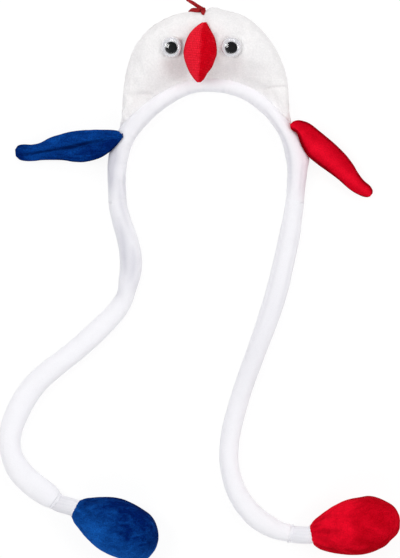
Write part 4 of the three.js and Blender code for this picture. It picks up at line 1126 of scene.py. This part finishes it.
def makeBeak():
    bottom, top = beak["sections"][0]["y"], beak["sections"][-1]["y"]
    y = (top + (bottom - top) * bunched(beak["rings"]))[:, None]
    left, right, ridge = (beakColumns[name](y) for name in ("left", "right", "ridge"))
    front = bunched(beak["frontPoints"])[None, :]
    behind = np.linspace(1, 0, beak["backPoints"])[None, :]
    frontX, backX = left + (right - left) * front, left + (right - left) * behind
    away = np.where(front < beak["ridgeAt"], front / beak["ridgeAt"], (1 - front) / (1 - beak["ridgeAt"]))
    tent = 1 - (1 - away) ** beak["ridgeRound"]
    swell = 0.5 * tent + 0.5 * np.sqrt(np.clip(1 - (1 - away) ** 2.6, 0, 1)) * (0.9 + 0.1 * away)
    seamLine = hill((1 - away) * (right - left) * 0.5, beak["seamWide"])
    frontZ = beakBack(frontX, y) + beak["edge"] + ridge * swell - beak["seamDepth"] * seamLine
    frontSide = np.stack([frontX, np.broadcast_to(y, frontX.shape), frontZ], -1)
    soft = beak["lump"] * lumps(frontSide, beak["lumpSize"], 12)
    frontSide[..., 2] += soft * np.sin(math.pi * front) ** 0.5
    backSide = np.stack([backX, np.broadcast_to(y, backX.shape), beakBack(backX, y)], -1)
    unseen = np.zeros(backX.shape)
    fromEdge = away * (right - left) * 0.5
    # painted shade along the ridge seam and the edges
    tint = beak["seamShade"] * seamLine + beak["edgeShade"] * hill(fromEdge, beak["edgeWide"])
    # painted light: the left panel and the right rim lighter
    lay = beak["leftLay"] * np.tanh((beak["ridgeAt"] - front) / beak["ridgeSoft"])
    lay = lay + beak["rimLay"] * hill(1 - front, beak["rimShare"])
    held = (away < 0.06) | (away > 0.96)  # edges, ridge seam and back
    tint, lay, held = (np.concatenate([np.broadcast_to(part, frontX.shape), unseen + back], 1)
                       for part, back in ((tint, 0), (lay, 0), (held, 1)))
    rings = puffOut("beak", np.concatenate([frontSide, backSide], 1), held, beak["puff"])
    across = np.cumsum(np.linalg.norm(np.diff(frontSide, axis=1), axis=-1), 1)
    across = np.concatenate([np.zeros((beak["rings"], 1)), across], 1)
    across = across - across[:, beak["frontPoints"] // 2][:, None]  # counted from the ridge
    cover = skin("beakCover", rings, tint, nap=lay)
    return layThreads(cover, np.concatenate([across, backX], 1), y)


dress(makeBeak(), clothOf["beakCloth"], nodes=["beak"])
print("beak ready")


# Wings
wings = dict(
    wing_blue=dict(
        root=(-82.8, -78.2, 24), tip=(-190.2, -90.6, 6.4), upSign=-1, slot="blue_plush", cloth="blueVelvet",
        # painted light and shade: the lower half darker near the root, the tip darker, the upper half a
        # little lighter; painted shade along the rims
        fold=3.2, foldFrom=0.14, foldTo=-0.5, rootLay=-0.2, tipLay=-0.15, upperLay=0.04, middleLay=0,
        upperRim=0.5, upperRimWide=1.6, lowerRim=0.7, lowerRimWide=2,
        sections=rows("along upper lower thick", (0, 3.6, 1, 4), (0.02, 6.6, 3, 6.5), (0.05, 8.2, 6.2, 8),
                      (0.12, 9.7, 12, 11.5), (0.22, 11, 17.2, 14), (0.36, 12.2, 19.4, 15),
                      (0.46, 12.2, 18.2, 14.5), (0.57, 10.9, 15.1, 13.5), (0.67, 8.8, 13.5, 12.5),
                      (0.76, 5.2, 12.5, 12), (0.84, 4.4, 12.3, 12), (0.92, 5.6, 11.2, 11.5),
                      (0.97, 5, 9.2, 9.5), (1, 1.6, 5.4, 5)),
    ),
    wing_red=dict(
        root=(85.1, -64.8, 24), tip=(166.6, -134.8, 6.4), upSign=1, slot="red_plush", cloth="redVelvet",
        # painted light and shade: the middle lighter and the sides darker; painted shade along the rims
        fold=0, foldFrom=0, foldTo=0, rootLay=0, tipLay=0, upperLay=0, middleLay=0.5,
        upperRim=0.65, upperRimWide=3.2, lowerRim=0.8, lowerRimWide=4.2,
        sections=rows("along upper lower thick", (0, 3.4, 0.6, 3.6), (0.012, 6, 1.8, 5.5),
                      (0.03, 8.4, 2.8, 7), (0.055, 10.2, 3.1, 8.5), (0.1, 12.5, 2.7, 9.5),
                      (0.16, 13.8, 6.2, 11.5), (0.23, 14.1, 9.8, 13.5), (0.32, 14.5, 12.4, 15),
                      (0.45, 14.6, 12.1, 15), (0.57, 13.6, 10.8, 14), (0.68, 11.2, 10, 13),
                      (0.78, 8, 10, 12), (0.86, 6.3, 9.2, 12), (0.94, 6.2, 7.1, 11), (0.985, 4.4, 4.4, 8),
                      (1, 2.2, 2.2, 4.5)),
    ),
)
wing = dict(
    rings=150, sides=96, long=109, plump=0.62, foldWidth=0.1, foldShade=0.9, foldDeepest=3.2,
    puckerLong=6, pucker=0.35, puckerReach=4.5, puckerShade=0.3, lumpSize=15, lump=0.4, fineSize=6, fine=0.15,
    bandClear=0.35, overBand=2.5, stitchCount=5, thread=0.7, threadIn=2.4, threadOut=1.5, threadSlant=0.9,
    threadHigh=0.42, threadLift=0.3, threadFloor=15,
    puff=dict(rings=56, sides=40, pressure=4, slack=0.025, cap=1.0),
)


def bandTop(x, y):  # height of the band's top over a place, and 0 beside the band
    at = np.linspace(0, 1, 500)
    centre, _ = bandFrame(at)
    flat = np.stack([x.ravel(), y.ravel()], -1)
    away = np.linalg.norm(flat[:, None, :] - centre[None, :, :2], axis=-1)
    nearest = away.argmin(1)
    q = away.min(1) / (bandAcross(at[nearest]) / 2 + wing["bandClear"])
    high = bandDeep(at[nearest]) / 2
    return np.where(q < 1, high * (1 + bandRound(q)), 0).reshape(x.shape)


def rootRuns(facts, root, along, up):  # overcast threads that hold the root to the band
    runs = []
    first, second = facts["sections"][:2]
    for k in range(wing["stitchCount"]):
        share = (k + 0.5) / wing["stitchCount"]
        off = first["upper"] * share - first["lower"] * (1 - share)
        inside = root + along * wing["threadIn"] + up * off
        outside = root - along * wing["threadOut"] + up * (off + wing["threadSlant"])
        inside[2] += second["thick"] * wing["threadHigh"]
        outside[2] = bandTop(outside[:1], outside[1:2])[0] + wing["threadLift"]
        if outside[2] > wing["threadFloor"]:  # only where the band lies under the thread's end
            runs.append((inside, outside, upright[0] - along))
    return runs


def makeWing(name, facts):
    root, tip = np.array(facts["root"], float), np.array(facts["tip"], float)
    along = unit((tip - root) * [1, 1, 0])
    up = np.array([-along[1], along[0], 0]) * facts["upSign"]
    at = bunched(wing["rings"])[:, None]
    turn = turns(wing["sides"], 2 * math.pi)
    across = np.cos(turn)
    front = np.sin(turn) > 1e-9
    facing = np.where(front, 1, -1)
    shape = curves(facts["sections"], "along")
    upper, lower, thick = (shape[column](at) for column in ("upper", "lower", "thick"))
    side = np.where(across > 0, upper, lower)
    centre = root + (tip - root) * at[..., None]
    bulge = facing * np.clip(1 - np.abs(across) ** 2.2, 0, 1) ** wing["plump"]
    foldAt = facts["foldFrom"] + (facts["foldTo"] - facts["foldFrom"]) * at
    crease = facts["fold"] * hill(across - foldAt, wing["foldWidth"])
    dent = np.where(front, crease * np.sin(math.pi * np.clip(at, 0.06, 1)) ** 0.7, 0)
    rings = centre + up * (across * side)[..., None]
    rings[..., 2] = np.maximum(centre[..., 2], thick / 2) + thick / 2 * bulge - dent
    reach = (1 - np.abs(across)) * side  # distance in from the edge seam
    seam = np.broadcast_arrays(at * wing["long"] / wing["puckerLong"], np.sign(across) * 4, 0 * at * across)
    pucker = lumps(np.stack(seam, -1), 0.5, 15) * np.exp(-reach / wing["puckerReach"])
    rings[..., 2] += facing * (wing["pucker"] * pucker + stuffed(rings, wing, 16, 17) * np.abs(bulge))
    over = bandTop(rings[..., 0], rings[..., 1])  # the root lies on the band
    least = over + np.where(front, wing["overBand"], wing["bandClear"]) * (over > 0)
    rings[..., 2] = np.maximum(np.maximum(rings[..., 2], least), 0)
    seen = np.clip((at - 0.01) / 0.05, 0, 1)
    narrow = np.clip((0.8 - at) / 0.35, 0.3, 1)  # the painted shade on the lower rim thins out to the tip
    # painted shade along the rims, in the fold and in the puckers
    under = facts["lowerRim"] * rimBand(reach, facts["lowerRimWide"] * narrow) * seen
    tint = np.where(across < 0, under, facts["upperRim"] * rimBand(reach, facts["upperRimWide"]) * seen)
    tint = tint + dent / wing["foldDeepest"] * wing["foldShade"]
    tint = tint + wing["puckerShade"] * np.clip(-pucker, 0, 1)
    # painted light and shade over the wing
    lay = np.where(across < 0, facts["rootLay"] * hill(at - 0.1, 0.3), facts["upperLay"])
    lay = lay + facts["tipLay"] * hill(at - 1, 0.14) + facts["middleLay"] * (hill(across + 0.15, 0.5) - 0.5)
    held = (np.abs(across) > 0.975) | (at < 0.05) | (over > 0) | (rings[..., 2] < 0.3)
    rings = restOnFloor(puffOut(name, rings, held, wing["puff"]))
    cover = skin(name + "_cover", rings, tint, nap=lay)
    return cover, stitches("rootStitches_" + name, rootRuns(facts, root, along, up), wing["thread"])


for name, facts in wings.items():
    cover, threads = makeWing(name, facts)
    dress(cover, clothOf[facts["cloth"]], nodes=[name])
    dress(threads, clothOf[facts["cloth"]])
print("wings ready")


# Comb: a felt strip tied at the top seam
comb = dict(
    height=25, rings=36, sides=20, squareness=3.2, curl=0.5, rough=0.22, roughSize=2.4, seed=20,
    tails=[
        dict(line=[(-2.6, 50, 0), (-8, 53.2, 1), (-13, 56.7, 0), (-18.2, 59.3, -2)],
             widths=[3.8, 3.8, 3.6, 2], thick=1.7),
        dict(line=[(-3.4, 47.8, 0), (-7.8, 48.7, 2), (-12, 48.8, 1), (-16.2, 47.6, -1)],
             widths=[2.6, 4.2, 4.4, 1.6], thick=1.7),
        dict(line=[(-2, 49.6, 0), (-1.9, 46.4, 4), (-1.7, 43.6, 7), (-1.6, 42, 8.4)],
             widths=[5, 4.4, 3.2, 1.8], thick=2.0),
    ],
    knot=dict(x=-2.2, y=48.8, width=6, length=6.6, thick=5.4, turns=3, wrap=0.09, sides=40, poleGap=0.04),
)


def feltStrip(tail, seed):
    at = np.linspace(0, 1, comb["rings"])
    path = smoothLine([(x, y, comb["height"] + z) for x, y, z in tail["line"]])(at)
    across = leftOf(headings(path))
    out = np.cross(headings(path), across)
    widths = [dict(at=i / (len(tail["widths"]) - 1), wide=wide) for i, wide in enumerate(tail["widths"])]
    half = smoothColumn(widths, "at", "wide")(at)[:, None] / 2
    flatX, flatZ = squareRing(turns(comb["sides"]), comb["squareness"], half, tail["thick"] / 2)
    curl = comb["curl"] * (flatX / half) ** 2  # the strip curls a little along its length
    rings = sweep(path, across, out, flatX, flatZ + curl)
    return rings + comb["rough"] * np.stack([lumps(rings, comb["roughSize"], seed + k) for k in range(3)], -1)


def feltKnot(knot):
    at = np.linspace(knot["poleGap"], math.pi - knot["poleGap"], knot["sides"])[:, None]
    turn = turns(knot["sides"], 2 * math.pi)
    wrap = 1 + knot["wrap"] * np.cos(knot["turns"] * 2 * at + 1.5 * np.cos(turn))
    return np.stack([
        knot["x"] + knot["width"] / 2 * np.sin(at) * np.cos(turn) * wrap,
        knot["y"] + knot["length"] / 2 * np.cos(at) * wrap + 0 * turn,
        comb["height"] + knot["thick"] / 2 * np.sin(at) * np.sin(turn) * wrap,
    ], -1)


def makeComb():
    points, faces = [], []
    strips = [feltStrip(tail, comb["seed"] + 3 * i) for i, tail in enumerate(comb["tails"])]
    for rings in strips + [feltKnot(comb["knot"])]:
        faces += rodFaces(*rings.shape[:2], len(points))
        points += rings.reshape(-1, 3).tolist()
    return newPiece("combTie", points, faces)


dress(makeComb(), clothOf["combFelt"], nodes=["comb"])
print("comb ready")


# Googly eyes
eyes = dict(
    left=dict(x=-33.3, y=10.5, leanX=-4.5, leanY=-4.5),
    right=dict(x=25.9, y=10.5, leanX=-4, leanY=-6),
)
eye = dict(
    size=20, backThick=1.2, backSoft=0.3, domeHigh=5.2, domeWall=0.7, domeRim=1.2, seat=0.9, gap=0.3,
    pupil=12, pupilThick=0.9, pupilSoft=0.25, pupilDrop=0.8, sides=96, arcPoints=26, weld=0.004,
    white=dict(colour=(0.52, 0.52, 0.55), second=(0.57, 0.57, 0.60), roughness=0.4, scale=300, gloss=0.5),
    black=dict(colour=(0.002, 0.002, 0.003), second=(0.006, 0.006, 0.008), roughness=0.35, scale=500,
               gloss=0.1),
    clear=dict(colour=(0.985, 0.985, 0.99), bend=1.5, scale=350, smear=(0.004, 0.02)),
)


def plasticMaterial(name, facts):
    material, tree, shader = startMaterial(name)
    cloud = addNode(tree, "TexNoise", Vector=place(tree), Scale=facts["scale"], Detail=4.0).outputs["Fac"]
    bump = addNode(tree, "Bump", Strength=0.1, Distance=0.1 * mm, Height=cloud)
    colour = blendColour(tree, "MIX", cloud, opaque(facts["colour"]), opaque(facts["second"]))
    rough = remap(tree, cloud, 0.3, 0.7, facts["roughness"] * 0.8, facts["roughness"] * 1.3)
    plug(tree, shader, BaseColor=colour, Roughness=rough, SpecularIORLevel=facts["gloss"],
         Normal=bump.outputs[0])
    return material


def clearMaterial(name, facts):
    material, tree, shader = startMaterial(name)
    smear = addNode(tree, "TexNoise", Vector=place(tree), Scale=facts["scale"], Detail=3.0).outputs["Fac"]
    plug(tree, shader, BaseColor=opaque(facts["colour"]), TransmissionWeight=1.0, IOR=facts["bend"],
         Roughness=remap(tree, smear, 0.4, 0.75, *facts["smear"]))
    lamp = addNode(tree, "LightPath").outputs["Is Shadow Ray"]  # lamps shine on through to the white back
    bare = addNode(tree, "BsdfTransparent").outputs[0]
    either = addNode(tree, "MixShader")
    for socket, value in zip(either.inputs, (lamp, shader.outputs[0], bare)):
        setSocket(tree, socket, value)
    plug(tree, tree.nodes["Material Output"], Surface=either.outputs[0])
    return material


eyeWhite = plasticMaterial("eyeWhite", eye["white"])
eyeBlack = plasticMaterial("eyeBlack", eye["black"])
eyeClear = clearMaterial("clearDome", eye["clear"])


def lathe(name, profile, put):  # a closed outline of radius and height turned about the eye's axis
    turn = turns(eye["sides"], 2 * math.pi)
    outline = np.array(profile, float)
    radius, height = outline[:, :1], outline[:, 1:]
    rings = np.stack([radius * np.cos(turn), radius * np.sin(turn), height + 0 * turn], -1)
    return newPiece(name, put(rings.reshape(-1, 3)), ringFaces(len(profile), eye["sides"]), eye["weld"])


def arc(middleR, middleH, sizeR, sizeH, start, end, count):
    angles = np.radians(np.linspace(start, end, count))
    return [(middleR + sizeR * math.cos(a), middleH + sizeH * math.sin(a)) for a in angles]


def roundedDisc(radius, thick, soft):
    return ([(0, 0)] + arc(radius - soft, soft, soft, soft, -90, 0, 6)
            + arc(radius - soft, thick - soft, soft, soft, 0, 90, 6) + [(0, thick)])


def domeShell():
    radius, inside = eye["size"] / 2, eye["size"] / 2 - eye["domeWall"]
    rim, high, count = eye["domeRim"], eye["domeHigh"] - eye["domeRim"], eye["arcPoints"]
    outer = arc(0, rim, radius, high, 0, 90, count)
    inner = arc(0, rim, inside, high - eye["domeWall"], 90, 0, count)
    return [(inside, 0), (radius, 0)] + outer + inner + [(inside, 0)]


def makeEye(side, facts):
    a, b = math.radians(-facts["leanY"]), math.radians(facts["leanX"])
    turnX = np.array([[1, 0, 0], [0, math.cos(a), -math.sin(a)], [0, math.sin(a), math.cos(a)]])
    turnY = np.array([[math.cos(b), 0, math.sin(b)], [0, 1, 0], [-math.sin(b), 0, math.cos(b)]])
    lean = turnX @ turnY
    seat = float(faceHeight(np.array(facts["x"]), np.array(facts["y"]))) + eye["seat"]
    middle = np.array([facts["x"], facts["y"], seat])
    shelf = eye["backThick"] + eye["gap"]

    def at(dy, dz):
        return lambda points: (points + [0, dy, dz]) @ lean.T + middle

    backDisc = roundedDisc(eye["size"] / 2, eye["backThick"], eye["backSoft"])
    pupilDisc = roundedDisc(eye["pupil"] / 2, eye["pupilThick"], eye["pupilSoft"])
    back = lathe("eyeBacking_" + side, backDisc, at(0, 0))
    pupil = lathe("eyePupil_" + side, pupilDisc, at(-eye["pupilDrop"], shelf))
    clear = lathe("eyeClearDome_" + side, domeShell(), at(0, shelf))
    dress(back, eyeWhite, nodes=["eye_back_" + side])
    dress(pupil, eyeBlack, body="pupil_" + side, nodes=["pupil_" + side])
    dress(clear, eyeClear, nodes=["eye_dome_" + side])


for side, facts in eyes.items():
    makeEye(side, facts)
print("eyes ready")
